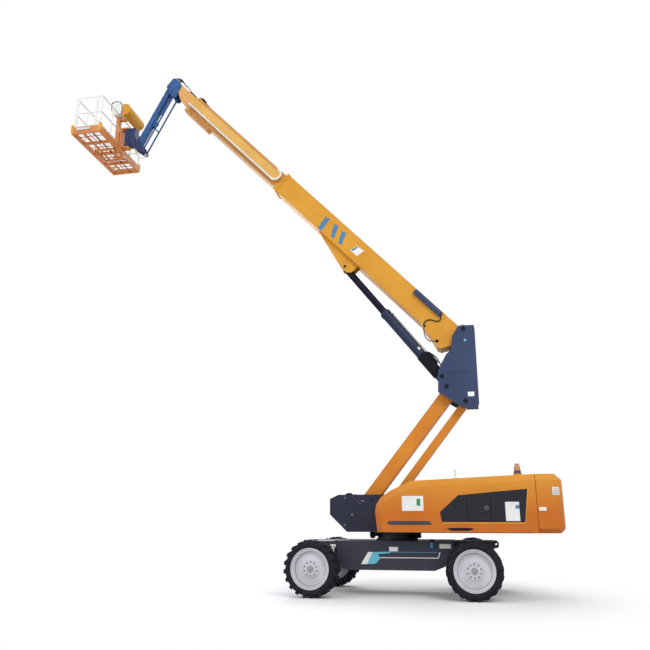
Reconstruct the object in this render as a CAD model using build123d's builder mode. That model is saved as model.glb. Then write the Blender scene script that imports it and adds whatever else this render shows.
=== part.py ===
from build123d import *
from math import atan2, cos, degrees, hypot, radians, sin, tan
import os

os.makedirs("parts", exist_ok=True)

# Self-propelled boom lift: a chassis on four lugged tyres, a slewing turntable with a parallelogram
# riser, a three-section telescopic boom, a jib and a platform. Millimetres. +X is forward, +Y the
# machine's left, +Z up. The origin is on the ground below the middle of the whole length, and every
# x in the tables below is measured forward from the slew axis.
slew_x = -2557.5

# Fits shared by all pieces.
run_gap = 0.3
pin_gap = 0.7
side_gap = 8.0
overrun = 40.0

# Wheels and axles.
wheelbase = 3340.0
tyre_radius = 575.0
tyre_width = 445.0
track_outer = 3000.0
rim_lip_radius = 420.0
rim_barrel_radius = 398.0
steer_rest = -4.0
king_pin_y = 900.0
lug_count = 20
lug_height = 30.0
lug_width = 78.0
shoulder_drop = 48.0
rim_wall = 14.0
dish_depth = 95.0
hub_radius = 175.0
hub_height = 40.0
nut_count = 10
nut_ring_radius = 138.0
nut_radius = 16.0
nut_height = 22.0
cap_radius = 72.0

# Chassis.
chassis_top = 1120.0
chassis_bottom = 520.0
chassis_half_width = 750.0
centre_front = 1250.0
centre_rear = -1060.0
end_half_width = 430.0
front_end = 2050.0
rear_end = -2130.0
end_bottom = 800.0
tail_bottom = 970.0
skid_rise = 80.0
skid_run = 210.0
side_lip = 40.0
lug_plate = 30.0
lug_bore_radius = 27.0
lug_reach = 95.0
axle_depth = 250.0
axle_height = 230.0
axle_sleeve_half = 560.0
axle_tube_inset = 28.0
king_radius = 60.0
yoke_plate = 45.0
drive_radius = 165.0

# Slewing ring and turntable.
ring_radius = 440.0
ring_height = 86.0
collar_radius = 415.0
bed_bottom = 1300.0
bed_plate = 100.0
bed_half_width = 1190.0
deck_front = 240.0
spine_y = 445.0
spine_plate = 24.0
nose_front = 1470.0
nose_face_bottom = 1675.0
nose_face_top = 2020.0
nose_chamfer = 1270.0
nose_top = 2110.0
nose_toe = 1080.0
spine_break = -900.0
spine_rear_top = 1640.0
cap_plate = 12.0
cap_rim = 20.0

# Hoods, side panels and counterweight.
hood_half_width = 1250.0
hood_bottom = 1305.0
hood_inner = 490.0
hood_wall = 14.0
hood_front = 355.0
hood_front_low = 310.0
hood_front_top = -430.0
hood_top_front = 2370.0
hood_top = 2485.0
hood_bevel = 140.0
hood_rear = -2990.0
hinge_y = 500.0
hinge_radius = 16.0
hinge_post = 60.0
panel_proud = 6.0
weight_front = -3000.0
weight_rear = -3545.0
weight_half_width = 1250.0
weight_corner = 260.0
weight_slot_half = 470.0
weight_slot_floor = 1680.0
weight_slot_rear = -3260.0
weight_bevel = 130.0
weight_toe = 90.0
door_front = -1590.0
door_rear = -2070.0
door_bottom = 1545.0
door_top = 2040.0
door_wall = 26.0
latch_length = 70.0
latch_height = 110.0
knuckle_radius = 8.0
grille_rows = 9
grille_front = -1520.0
grille_rear = -2560.0
grille_bottom = 1600.0
grille_top = 2020.0
engine_front = -1600.0
engine_rear = -2600.0
engine_inner = 520.0
engine_outer = 1150.0
engine_top = 2100.0
tank_front = -1300.0
tank_rear = -2400.0
tank_inner = 560.0
tank_outer = 1120.0
tank_top = 2000.0
beacon_x = -2675.0
beacon_y = 980.0
beacon_radius = 66.0
beacon_height = 200.0
beacon_foot = 24.0

# Riser: a box arm and a parallel link from the nose to the upright.
riser_pin_x = 780.0
riser_pin_z = 1950.0
riser_length = 3310.0
riser_lean = 128.5
riser_depth = 310.0
riser_above = 55.0
riser_half_width = 170.0
riser_wall = 12.0
riser_end = 125.0
link_dx = -410.0
link_dz = -360.0
link_depth = 175.0
link_half_width = 120.0
riser_pin_radius = 45.0
eye_wall = 40.0

# Upright between riser and boom.
upright_y = 387.5
upright_plate = 25.0
hole_inset = 160.0
hole_half = 80.0
sight_rise = 90.0
web_drop = 160.0
upright_behind = 265.0
upright_web = 20.0
boom_pivot_x = -1730.0
boom_pivot_z = 5900.0

# Boom sections, measured along the boom from its pivot.
boom_angle = 46.5
base_length = 6350.0
base_height = 550.0
base_half_width = 250.0
mid_height = 450.0
mid_half_width = 205.0
fly_height = 350.0
fly_half_width = 165.0
boom_wall = 12.0
mid_rear = 4000.0
mid_front = 10200.0
fly_rear = 4300.0
fly_front = 10700.0
collar_length = 90.0
collar_wall = 16.0
pad_length = 80.0
cavity_start = 700.0
boss_reach = 370.0
fist_start = 9300.0
fist_end = 10350.0
fist_depth = 100.0
fist_half_width = 120.0
head_end = 90.0
ear_inner = 100.0
ear_outer = 135.0
boom_pin_radius = 55.0
track_height = 265.0
track_depth = 100.0
track_top = -150.0
track_wall = 8.0
track_gap = 70.0
track_front = 10300.0
track_bracket = 60.0
box_rear = 650.0
box_front = 1520.0
box_top = -20.0
box_height = 125.0
box_depth = 80.0

# Lift cylinder.
lift_base_x = -1200.0
lift_base_z = 4780.0
lift_pin_along = 3330.0
lift_pin_drop = 780.0
barrel_radius = 122.0
barrel_length = 2200.0
rod_radius = 88.0
lift_eye_radius = 92.0
lift_eye_half = 110.0
bracket_y = 140.0
bracket_plate = 28.0
bracket_radius = 100.0
bracket_run = 1220.0
bracket_heel = 245.0
lift_pin_radius = 40.0
gland_length = 90.0
gland_wall = 12.0
bore_start = 250.0
rod_start = 1300.0

# Levelled tip, jib and jib cylinder.
tip_pin_x = 6020.0
tip_pin_z = 13800.0
jib_pin_x = 6340.0
jib_pin_z = 13820.0
jib_end_x = 7190.0
jib_end_z = 12090.0
jib_link_dx = -160.0
jib_link_dz = -290.0
jib_depth = 150.0
jib_half_width = 80.0
tip_plate_y = 160.0
tip_plate = 16.0
tip_height = 750.0
tip_cross = 60.0
jib_foot_dx = -90.0
jib_foot_dz = -150.0
jib_rod_y = 120.0
jib_rod_radius = 24.0
jib_cyl_drop = 152.0
jib_cyl_end = 1165.0
jib_barrel_radius = 52.0
jib_barrel_length = 720.0
jib_rod_end_radius = 28.0
small_pin_radius = 25.0
small_eye_wall = 20.0
jib_eye_half = 30.0
jib_gusset = 10.0
jib_rod_start = 350.0

# Rotator and platform.
rotator_x = 7580.0
rotator_bottom = 12050.0
rotator_top = 12600.0
rotator_radius = 105.0
rotator_neck = 110.0
rotator_pin_radius = 50.0
neck_rear = 7310.0
head_plate_front = 7430.0
mount_plate = 40.0
mount_gap = 10.0
mount_half_width = 120.0
post_rear = 7880.0
post_front = 7990.0
post_half = 55.0
post_rise = 425.0
beam_low = 12095.0
beam_height = 60.0
floor_rear = 7780.0
floor_front = 8660.0
floor_half = 1200.0
floor_bottom = 11890.0
frame_tube_height = 90.0
frame_tube_width = 60.0
grid_bar = 8.0
grid_height = 24.0
grid_across = 1
grid_along = 7
toe_wall = 4.0
rail_radius = 19.0
rail_height = 1080.0
corner_extra = 2.0
rail_inset = 50.0
toe_height = 100.0
cover_radius = 180.0
cover_half = 450.0
cover_x = 7530.0
cover_rise = 380.0
cover_wall = 8.0
rail_posts = 3
mid_rail_z = 12550.0
gate_low_z = 12130.0
gate_hinge_inset = 100.0
gate_width = 560.0
gate_lug_low = 12300.0
gate_lug_high = 12850.0
gate_lug_wall = 11.0
gate_lug_height = 30.0
console_rear = 7800.0
console_front = 8050.0
console_half_width = 175.0
console_height = 150.0
console_lip = 70.0


def side(x, z, lean=0.0, y=0.0):
    # A plane seen from the machine's right: its x runs forward, leaning up by an angle.
    forward = (cos(radians(lean)), 0, sin(radians(lean)))
    return Plane(origin=(slew_x + x, y, z), x_dir=forward, z_dir=(0, -1, 0))


def level(z, x=0.0, y=0.0):
    # A level plane at a height, its origin this far forward of the slew axis.
    return Plane(origin=(slew_x + x, y, z), x_dir=(1, 0, 0), z_dir=(0, 0, 1))


def across(x, z=0.0):
    # A plane square to the machine's length: its x runs to the left and its y up.
    return Plane(origin=(slew_x + x, 0, z), x_dir=(0, 1, 0), z_dir=(1, 0, 0))


def slab(outline, plane, thickness, mode=Mode.ADD):
    # A plate of this outline, half its thickness to each side of the plane.
    with BuildSketch(plane) as face:
        with BuildLine():
            Polyline(*outline, close=True)
        make_face()
    extrude(face.sketch, amount=thickness / 2, both=True, mode=mode)


def block(plane, x_range, y_range, thickness, mode=Mode.ADD):
    # A block that spans two ranges on its plane, half its thickness to each side.
    (x_low, x_high), (y_low, y_high) = x_range, y_range
    outline = [(x_low, y_low), (x_high, y_low), (x_high, y_high), (x_low, y_high)]
    slab(outline, plane, thickness, mode=mode)


def disc(plane, radius, thickness, mode=Mode.ADD):
    # A round plate, boss or hole, half its thickness to each side of the plane.
    with BuildSketch(plane) as face:
        Circle(radius)
    extrude(face.sketch, amount=thickness / 2, both=True, mode=mode)


def spot(plane, along, up=0.0, out=0.0):
    # The place of a point given on a plane.
    return plane.from_local_coords(Vector(along, up, out))


def tube(start, end, radius, mode=Mode.ADD):
    # A straight round bar between two points in space.
    path = Vector(end) - Vector(start)
    with BuildSketch(Plane(origin=start, z_dir=path.normalized())) as face:
        Circle(radius)
    extrude(face.sketch, amount=path.length, mode=mode)


def pivot(plane, radius, half, plate_middle, plate):
    # A pin between two plates, with a spacer at each side of the eye and a cap on each plate.
    outer = plate_middle + plate / 2
    disc(plane, radius - pin_gap, 2 * outer)
    for hand in (-1, 1):
        inner = half + side_gap
        disc(plane.offset(hand * (inner + plate_middle) / 2), radius + cap_rim, plate_middle - inner)
        disc(plane.offset(hand * (outer + cap_plate / 2)), radius + cap_rim, cap_plate)


def finish(part, name):
    part.label = name
    export_step(part, "parts/" + name + ".step")


# Wheels: a dished rim with a nut ring inside a carcass with two staggered rows of lugs.
tyre_middle_y = track_outer / 2 - tyre_width / 2
wheel_offset = tyre_middle_y - king_pin_y
wheels = [
    # name, axle x, side, steering angle
    ("front_left", wheelbase / 2, 1, steer_rest),
    ("front_right", wheelbase / 2, -1, steer_rest),
    ("rear_left", -wheelbase / 2, 1, 0.0),
    ("rear_right", -wheelbase / 2, -1, 0.0),
]
carcass_radius = tyre_radius - lug_height
carcass_sides = 2 * lug_count
pitch = 360 / lug_count


def wheel_plane(axle_x, hand, steer, out=0.0):
    # The wheel's middle plane, its normal pointing away from the machine, moved outward.
    aim = (-sin(radians(steer)) * hand, cos(radians(steer)) * hand, 0)
    reach = wheel_offset + out
    x = slew_x + axle_x + aim[0] * reach
    y = king_pin_y * hand + aim[1] * reach
    return Plane(origin=(x, y, tyre_radius), x_dir=(0, 0, -1), z_dir=aim)


for name, axle_x, hand, steer in wheels:
    middle = wheel_plane(axle_x, hand, steer)
    shoulder = tyre_width / 2 - shoulder_drop
    lip = tyre_width / 2 - shoulder_drop / 2
    with BuildPart() as tyre:
        with BuildSketch(middle):
            RegularPolygon(carcass_radius, carcass_sides, major_radius=False, rotation=pitch / 4)
        extrude(amount=shoulder, both=True)
        for face in tyre.faces().sort_by(Axis(middle.origin, middle.z_dir))[:: len(tyre.faces()) - 1]:
            extrude(face, amount=shoulder_drop, taper=45)
        for row in (-1, 1):
            with BuildSketch(middle):
                with PolarLocations(0, lug_count, start_angle=pitch / 4 * (row - 1)):
                    with Locations((carcass_radius - lug_height / 2, 0)):
                        Rectangle(lug_height * 3, lug_width)
                RegularPolygon(tyre_radius, carcass_sides, major_radius=False, rotation=pitch / 4,
                               mode=Mode.INTERSECT)
            extrude(amount=(tyre_width / 2 - lug_height / 2) * row)
        disc(middle, rim_barrel_radius + run_gap, tyre_width + overrun, mode=Mode.SUBTRACT)
        disc(middle.offset(lip + overrun - run_gap), rim_lip_radius + run_gap, 2 * overrun,
             mode=Mode.SUBTRACT)
    finish(tyre.part, "tyre_" + name)

    with BuildPart() as rim:
        across_wheel = Vector(0, 0, 1).cross(middle.z_dir)
        with BuildSketch(Plane(origin=middle.origin, x_dir=(0, 0, 1), z_dir=across_wheel)):
            with BuildLine():
                # across is the radius, up is outward along the axle
                Polyline(
                    (rim_barrel_radius, -lip),
                    (rim_barrel_radius, lip),
                    (rim_barrel_radius - rim_wall, lip),
                    (rim_barrel_radius - 4 * rim_wall, dish_depth),
                    (hub_radius, dish_depth + rim_wall),
                    (hub_radius, dish_depth + hub_height),
                    (0, dish_depth + hub_height),
                    (0, dish_depth - rim_wall),
                    (rim_barrel_radius - 5 * rim_wall, dish_depth - rim_wall),
                    (rim_barrel_radius - rim_wall, -lip),
                    close=True,
                )
            make_face()
        revolve(axis=Axis(middle.origin, middle.z_dir))
        with BuildSketch(middle.offset(lip)):
            Circle(rim_lip_radius)
            Circle(rim_barrel_radius - rim_wall, mode=Mode.SUBTRACT)
        extrude(amount=rim_wall)
        with BuildSketch(middle.offset(dish_depth + hub_height)):
            with PolarLocations(nut_ring_radius, nut_count):
                RegularPolygon(nut_radius, 6)
        extrude(amount=nut_height)
        with BuildSketch(middle.offset(dish_depth + hub_height)):
            Circle(cap_radius)
        extrude(amount=nut_height * 2, taper=15)
    finish(rim.part, "rim_" + name)


# Chassis: a wide centre box between narrower end beams, with tie-down ears at both ends.
axle_beam_end = wheelbase / 2 + axle_depth / 2
with BuildPart() as chassis_frame:
    centre = [
        (centre_rear - skid_run, chassis_top),
        (centre_rear - skid_run, chassis_top - side_lip * 4),
        (centre_rear, chassis_bottom + skid_rise),
        (centre_rear + skid_run, chassis_bottom),
        (centre_front - skid_run, chassis_bottom),
        (centre_front, chassis_bottom + skid_rise),
        (centre_front, chassis_top),
    ]
    slab(centre, side(0, 0), 2 * chassis_half_width)
    ends = [
        (rear_end, chassis_top),
        (rear_end, tail_bottom),
        (-axle_beam_end, end_bottom),
        (axle_beam_end, end_bottom),
        (front_end, tail_bottom),
        (front_end, chassis_top),
    ]
    slab(ends, side(0, 0), 2 * end_half_width)
    for end, reach in ((front_end, 1), (rear_end, -1)):
        for y in (-end_half_width / 2, end_half_width / 2):
            ear_z = (tail_bottom + chassis_top) / 2
            tip = end + reach * lug_reach
            slab(
                [
                    (end - reach * overrun, tail_bottom),
                    (tip - reach * lug_reach / 3, tail_bottom),
                    (tip, tail_bottom + lug_reach / 3),
                    (tip, chassis_top - lug_reach / 3),
                    (tip - reach * lug_reach / 3, chassis_top),
                    (end - reach * overrun, chassis_top),
                ],
                side(0, 0, y=y),
                lug_plate,
            )
            disc(side(end + reach * lug_reach / 2, ear_z, y=y), lug_bore_radius, 2 * lug_plate,
                 mode=Mode.SUBTRACT)
finish(chassis_frame.part, "chassis_frame")

# Axles: a sleeve under the frame and the tube that carries the hub or the steering yoke.
hub_face = tyre_middle_y + dish_depth - rim_wall - run_gap
for name, x in (("front", wheelbase / 2), ("rear", -wheelbase / 2)):
    with BuildPart() as axle:
        block(side(x, tyre_radius), (-axle_depth / 2, axle_depth / 2), (-axle_height / 2, axle_height / 2),
              2 * axle_sleeve_half)
        inner = axle_depth / 2 - axle_tube_inset
        rise = axle_height / 2 - axle_tube_inset
        block(side(x, tyre_radius), (-inner, inner), (-rise, rise), 2 * (king_pin_y - king_radius / 2))
        block(side(x, tyre_radius), (-inner, inner), (-axle_height / 2, end_bottom - tyre_radius),
              2 * (end_half_width - overrun))
        if name == "front":
            for hand in (-1, 1):
                disc(level(tyre_radius, x, hand * king_pin_y), king_radius + yoke_plate, axle_height)
                disc(level(tyre_radius, x, hand * king_pin_y), king_radius, axle_height + overrun,
                     mode=Mode.SUBTRACT)
        else:
            for hand in (-1, 1):
                disc(side(x, tyre_radius, y=hand * (king_pin_y - overrun + hub_face) / 2), drive_radius,
                     hub_face - king_pin_y + overrun)
    finish(axle.part, name + "_axle")

# Steering knuckles: a yoke over each end of the front axle, and the drive housing inside the rim.
yoke_half = king_radius + yoke_plate
for name, axle_x, hand, steer in wheels[:2]:
    inboard = wheel_plane(axle_x, hand, steer, out=-wheel_offset)
    yoke_out = yoke_half + side_gap
    drive_end = wheel_offset + dish_depth - rim_wall - run_gap
    yoke_rise = axle_height / 2 + side_gap + yoke_plate / 2
    with BuildPart() as knuckle:
        disc(level(tyre_radius, axle_x, hand * king_pin_y), king_radius - pin_gap, 2 * yoke_rise)
        for row in (-1, 1):
            foot = (slew_x + axle_x, hand * king_pin_y, tyre_radius + row * yoke_rise)
            yoke = Plane(origin=foot, x_dir=inboard.z_dir, z_dir=(0, 0, 1))
            disc(yoke, yoke_half, yoke_plate)
            block(yoke, (0, yoke_out + yoke_plate), (-yoke_half, yoke_half), yoke_plate)
        block(inboard.offset(yoke_out + yoke_plate / 2), (-yoke_rise, yoke_rise), (-yoke_half, yoke_half),
              yoke_plate)
        disc(inboard.offset((yoke_out + drive_end) / 2), drive_radius, drive_end - yoke_out)
    finish(knuckle.part, "steer_knuckle" + name[len("front"):])

# Slewing ring and turntable: a bed between two spine plates that rise to the nose.
with BuildPart() as slew_ring:
    disc(level(chassis_top + ring_height / 2), ring_radius, ring_height)
finish(slew_ring.part, "slew_ring")

bed_top = bed_bottom + bed_plate
collar_bottom = chassis_top + ring_height + run_gap
hood_slope = degrees(atan2(hood_top - hood_top_front, hood_front_top - hood_rear))
hinge_drop = (hood_wall + hinge_radius + run_gap) / cos(radians(hood_slope))
riser_top_x = riser_pin_x + riser_length * cos(radians(riser_lean))
riser_top_z = riser_pin_z + riser_length * sin(radians(riser_lean))


def hood_line(x):
    # The height of the hood's top at a place along it.
    return hood_top_front + (hood_front_top - x) * tan(radians(hood_slope))


with BuildPart() as turntable_frame:
    disc(level((collar_bottom + bed_top) / 2), collar_radius, bed_top - collar_bottom)
    slab(
        [
            (weight_front, -bed_half_width),
            (deck_front - hood_bevel, -bed_half_width),
            (deck_front, hood_bevel - bed_half_width),
            (deck_front, bed_half_width - hood_bevel),
            (deck_front - hood_bevel, bed_half_width),
            (weight_front, bed_half_width),
        ],
        level((bed_bottom + bed_top) / 2),
        bed_plate,
    )
    for hand in (-1, 1):
        slab(
            [
                (weight_front, bed_bottom),
                (nose_toe, bed_bottom),
                (nose_front, nose_face_bottom),
                (nose_front, nose_face_top),
                (nose_chamfer, nose_top),
                (spine_break, nose_top),
                (weight_front, spine_rear_top),
            ],
            side(0, 0, y=hand * spine_y),
            spine_plate,
        )
        front, rear = hood_front_top - 2 * overrun, hood_rear + 2 * overrun
        tube((slew_x + front, hand * hinge_y, hood_line(front) - hinge_drop),
             (slew_x + rear, hand * hinge_y, hood_line(rear) - hinge_drop), hinge_radius)
        for x in (front - hinge_post, (front + rear) / 2, rear + hinge_post):
            top = hood_line(x) - hinge_drop - hinge_radius / 2
            y_low, y_high = sorted((hand * spine_y, hand * (hinge_y + hinge_radius / 2)))
            block(across(x), (y_low, y_high), (bed_bottom, top), hinge_post)
    block(across(nose_front - spine_plate / 2), (-spine_y, spine_y), (nose_face_bottom, nose_face_top),
          spine_plate)
    block(level(bed_bottom + spine_plate / 2), (0, nose_toe), (-spine_y, spine_y), spine_plate)
    slab(
        [
            (nose_toe, bed_bottom),
            (nose_front, nose_face_bottom),
            (nose_front - 2 * spine_plate, nose_face_bottom),
            (nose_toe - 2 * spine_plate, bed_bottom),
        ],
        side(0, 0),
        2 * spine_y,
    )
    pivot(side(riser_pin_x, riser_pin_z), riser_pin_radius, riser_half_width, spine_y, spine_plate)
    pivot(side(riser_pin_x + link_dx, riser_pin_z + link_dz), riser_pin_radius, link_half_width, spine_y,
          spine_plate)
finish(turntable_frame.part, "turntable_frame")

with BuildPart() as engine_block:
    block(level((bed_top + engine_top) / 2), (engine_rear, engine_front), (-engine_outer, -engine_inner),
          engine_top - bed_top)
finish(engine_block.part, "engine_block")

with BuildPart() as tank:
    block(level((bed_top + tank_top) / 2), (tank_rear, tank_front), (tank_inner, tank_outer),
          tank_top - bed_top)
finish(tank.part, "tank")

with BuildPart() as counterweight:
    with BuildSketch(level(bed_bottom)):
        with BuildLine():
            Polyline(
                (weight_front, -weight_half_width),
                (weight_rear, -weight_half_width),
                (weight_rear, weight_half_width),
                (weight_front, weight_half_width),
                close=True,
            )
        weight_face = make_face()
        fillet(weight_face.vertices().sort_by(Axis.X)[:2], weight_corner)
    extrude(amount=hood_top - bed_bottom)
    for level_face, bevel in ((0, weight_toe), (-1, weight_bevel)):
        rim_edges = counterweight.faces().sort_by(Axis.Z)[level_face].edges().sort_by(Axis.X)[:-1]
        chamfer(rim_edges, bevel)
    slot_height = hood_top - weight_slot_floor
    block(level(weight_slot_floor + slot_height), (weight_slot_rear, weight_front + overrun),
          (-weight_slot_half, weight_slot_half), 2 * slot_height, mode=Mode.SUBTRACT)
finish(counterweight.part, "counterweight")


# Hoods: a bevelled shell over each side, open below, behind and towards the spine.
hood_nose_shares = [
    # forward from the start of the top, and up from the bottom
    (1.0, 0.39),
    (0.968, 0.53),
    (0.834, 0.681),
    (0.548, 0.817),
]


def hood_body(hand, inset, reach):
    # The hood's outer form, or its hollow when inset and reaching out of the open sides.
    nose_length, nose_height = hood_front - hood_front_top, hood_top_front - hood_bottom
    nose = [(hood_front_top + x * nose_length, hood_bottom + z * nose_height) for x, z in hood_nose_shares]
    lean = (hood_front - hood_front_low) / (nose[0][1] - hood_bottom)
    width = hood_half_width - inset - hood_inner + reach
    with BuildPart(mode=Mode.PRIVATE) as body:
        with BuildSketch(side(0, 0, y=hand * (hood_inner - reach))):
            with BuildLine():
                Polyline(
                    (hood_rear - reach, hood_bottom - reach),
                    (hood_front_low - reach * lean, hood_bottom - reach),
                    *nose,
                    (hood_front_top, hood_top_front),
                    (hood_rear - reach, hood_line(hood_rear - reach)),
                    close=True,
                )
            make_face()
            if inset:
                offset(amount=-inset, kind=Kind.INTERSECTION, mode=Mode.REPLACE)
        extrude(amount=-hand * width)
        outer = body.faces().sort_by(Axis.Y)[-1 if hand > 0 else 0]
        chamfer(outer.edges().sort_by(Axis.X)[1:].sort_by(Axis.Z)[1:], hood_bevel - inset / 2)
    return body.part


panel_shares = [
    # forward from the hood's rear, and up from its bottom
    (0.585, 0.183),
    (0.594, 0.352),
    (0.476, 0.640),
    (0.0455, 0.7415),
    (0.0727, 0.183),
]
hood_length = hood_front_low - hood_rear
hood_height = hood_top - hood_bottom
panel_outline = [(hood_rear + x * hood_length, hood_bottom + z * hood_height) for x, z in panel_shares]
door_gap_x = (door_rear - side_gap, door_front + knuckle_radius + run_gap)
door_gap_z = (door_bottom - side_gap, door_top + side_gap)
grille_pitch = (grille_top - grille_bottom) / grille_rows
beacon_top = hood_line(beacon_x - beacon_radius) + beacon_foot
for name, hand in (("left", 1), ("right", -1)):
    shell = hood_body(hand, 0.0, 0.0)
    hollow = hood_body(hand, hood_wall, 2 * overrun)
    skin = side(0, 0, y=hand * hood_half_width)
    with BuildPart() as hood:
        add(shell)
        add(hollow, mode=Mode.SUBTRACT)
        if hand > 0:
            block(skin, door_gap_x, door_gap_z, 4 * hood_wall, mode=Mode.SUBTRACT)
            foot_bottom = hood_line(beacon_x + beacon_radius) - hood_wall
            disc(level((foot_bottom + beacon_top) / 2, beacon_x, beacon_y), beacon_radius + beacon_foot,
                 beacon_top - foot_bottom)
        else:
            block(skin, (grille_rear, grille_front), (grille_bottom, grille_top), 4 * hood_wall,
                  mode=Mode.SUBTRACT)
    finish(hood.part, "hood_" + name)
    with BuildPart() as panel:
        slab(panel_outline, side(0, 0, y=hand * (hood_half_width + panel_proud / 2)), panel_proud)
        if hand > 0:
            block(skin, door_gap_x, door_gap_z, 4 * hood_wall, mode=Mode.SUBTRACT)
        else:
            for row in range(grille_rows):
                slot_z = grille_bottom + (row + 1 / 2) * grille_pitch
                slot_gap = (slot_z - grille_pitch / 4, slot_z + grille_pitch / 4)
                block(skin, (grille_rear, grille_front), slot_gap, 4 * hood_wall, mode=Mode.SUBTRACT)
    finish(panel.part, "hood_panel_" + name)

with BuildPart() as beacon:
    disc(level(beacon_top + beacon_height / 4, beacon_x, beacon_y), beacon_radius, beacon_height / 2)
    with BuildSketch(level(beacon_top + beacon_height / 2, beacon_x, beacon_y)):
        Circle(beacon_radius)
    extrude(amount=beacon_height / 2, taper=12)
finish(beacon.part, "beacon")

door_face = hood_half_width + panel_proud
with BuildPart() as access_door:
    door_middle = side(0, 0, y=door_face - door_wall / 2)
    block(door_middle, (door_rear, door_front), (door_bottom, door_top), door_wall)
    latch_z = (door_bottom + door_top) / 2
    block(side(0, 0, y=door_face), (door_rear + latch_length / 2, door_rear + 3 * latch_length / 2),
          (latch_z - latch_height / 2, latch_z + latch_height / 2), door_wall)
    disc(level(latch_z, door_front, door_face), knuckle_radius, door_top - door_bottom - latch_length)
finish(access_door.part, "access_door")


# Riser: the box arm above and the link below it, both measured from the upright down to the nose.
def box_arm(plane, length, high, low, half, pin_radius, end, wall):
    # A hollow bar with chamfered ends and a round eye at each end.
    slab(
        [
            (-end, high - end / 2),
            (-end / 2, high),
            (length + end / 2, high),
            (length + end, high - end / 2),
            (length + end, low + end / 2),
            (length + end / 2, low),
            (-end / 2, low),
            (-end, low + end / 2),
        ],
        plane,
        2 * half,
    )
    inset = pin_radius + eye_wall
    block(plane, (inset, length - inset), (low + wall, high - wall), 2 * (half - wall), mode=Mode.SUBTRACT)
    for along in (0, length):
        eye = Plane(origin=spot(plane, along), x_dir=plane.x_dir, z_dir=plane.z_dir)
        disc(eye, pin_radius + min(eye_wall, (high - low) / 2 - pin_radius), 2 * half)
        disc(eye, pin_radius, 2 * half + overrun, mode=Mode.SUBTRACT)


with BuildPart() as riser_arm:
    box_arm(side(riser_top_x, riser_top_z, riser_lean - 180), riser_length, riser_above,
            riser_above - riser_depth, riser_half_width, riser_pin_radius, riser_end, riser_wall)
finish(riser_arm.part, "riser_arm")

link_top_x = riser_top_x + link_dx
link_top_z = riser_top_z + link_dz
with BuildPart() as riser_link:
    box_arm(side(link_top_x, link_top_z, riser_lean - 180), riser_length, link_depth / 2, -link_depth / 2,
            link_half_width, riser_pin_radius, link_depth / 2, riser_wall)
finish(riser_link.part, "riser_link")

# Upright: two plates that carry the riser's pins, the lift cylinder's foot and the boom's pivot.
upright_rear = boom_pivot_x - upright_behind
upright_height = boom_pivot_z - link_top_z
upright_shares = [
    # forward and up from the boom's pivot, of the height between pivot and link
    (0.064, 0.0465),
    (-0.1425, 0.0465),
    (-0.154, 0.0),
    (-0.154, -1.047),
    (-0.113, -1.099),
    (0.058, -1.093),
    (0.163, -1.012),
    (0.378, -0.866),
    (0.366, -0.593),
    (0.337, -0.512),
    (0.250, -0.355),
    (0.174, -0.279),
    (0.174, -0.221),
    (0.151, -0.099),
    (0.1105, -0.029),
]
upright_outline = [
    (boom_pivot_x + x * upright_height, boom_pivot_z + z * upright_height) for x, z in upright_shares
]
upright_bottom = min(z for x, z in upright_outline)
hole_x, hole_z = upright_rear + hole_inset, link_top_z + hole_inset
with BuildPart() as upright:
    for hand, foot_rise, hole_rise in ((1, 0.0, 0.0), (-1, sight_rise, 2 * sight_rise)):
        plate_plane = side(0, 0, y=hand * upright_y)
        plate = [(x, max(z, upright_bottom + foot_rise)) for x, z in upright_outline]
        slab(plate, plate_plane, upright_plate)
        block(plate_plane, (hole_x - hole_half, hole_x + hole_half),
              (hole_z - hole_half * 2 / 3, hole_z + hole_half * 2 / 3 + hole_rise), 2 * upright_plate,
              mode=Mode.SUBTRACT)
    web_height = (hole_z + sight_rise, boom_pivot_z - web_drop)
    block(across(upright_rear + upright_web), (-upright_y, upright_y), web_height, upright_web)
    pivot(side(riser_top_x, riser_top_z), riser_pin_radius, riser_half_width, upright_y, upright_plate)
    pivot(side(link_top_x, link_top_z), riser_pin_radius, link_half_width, upright_y, upright_plate)
    pivot(side(lift_base_x, lift_base_z), lift_pin_radius, barrel_radius, upright_y, upright_plate)
    disc(side(boom_pivot_x, boom_pivot_z), boom_pin_radius - pin_gap, 2 * upright_y + upright_plate)
    for hand in (-1, 1):
        cap_y = hand * (upright_y + upright_plate / 2 + cap_plate / 2)
        disc(side(boom_pivot_x, boom_pivot_z, y=cap_y), boom_pin_radius + cap_rim, cap_plate)
finish(upright.part, "upright")

# Boom: three boxes one inside the other, each measured along the boom from the pivot.
boom_plane = side(boom_pivot_x, boom_pivot_z, boom_angle)
boom_middle = -base_height / 2


def box(along, height, half, mode=Mode.ADD):
    # A length of box section centred on the boom's middle line.
    block(boom_plane, along, (boom_middle - height / 2, boom_middle + height / 2), 2 * half, mode=mode)


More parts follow.
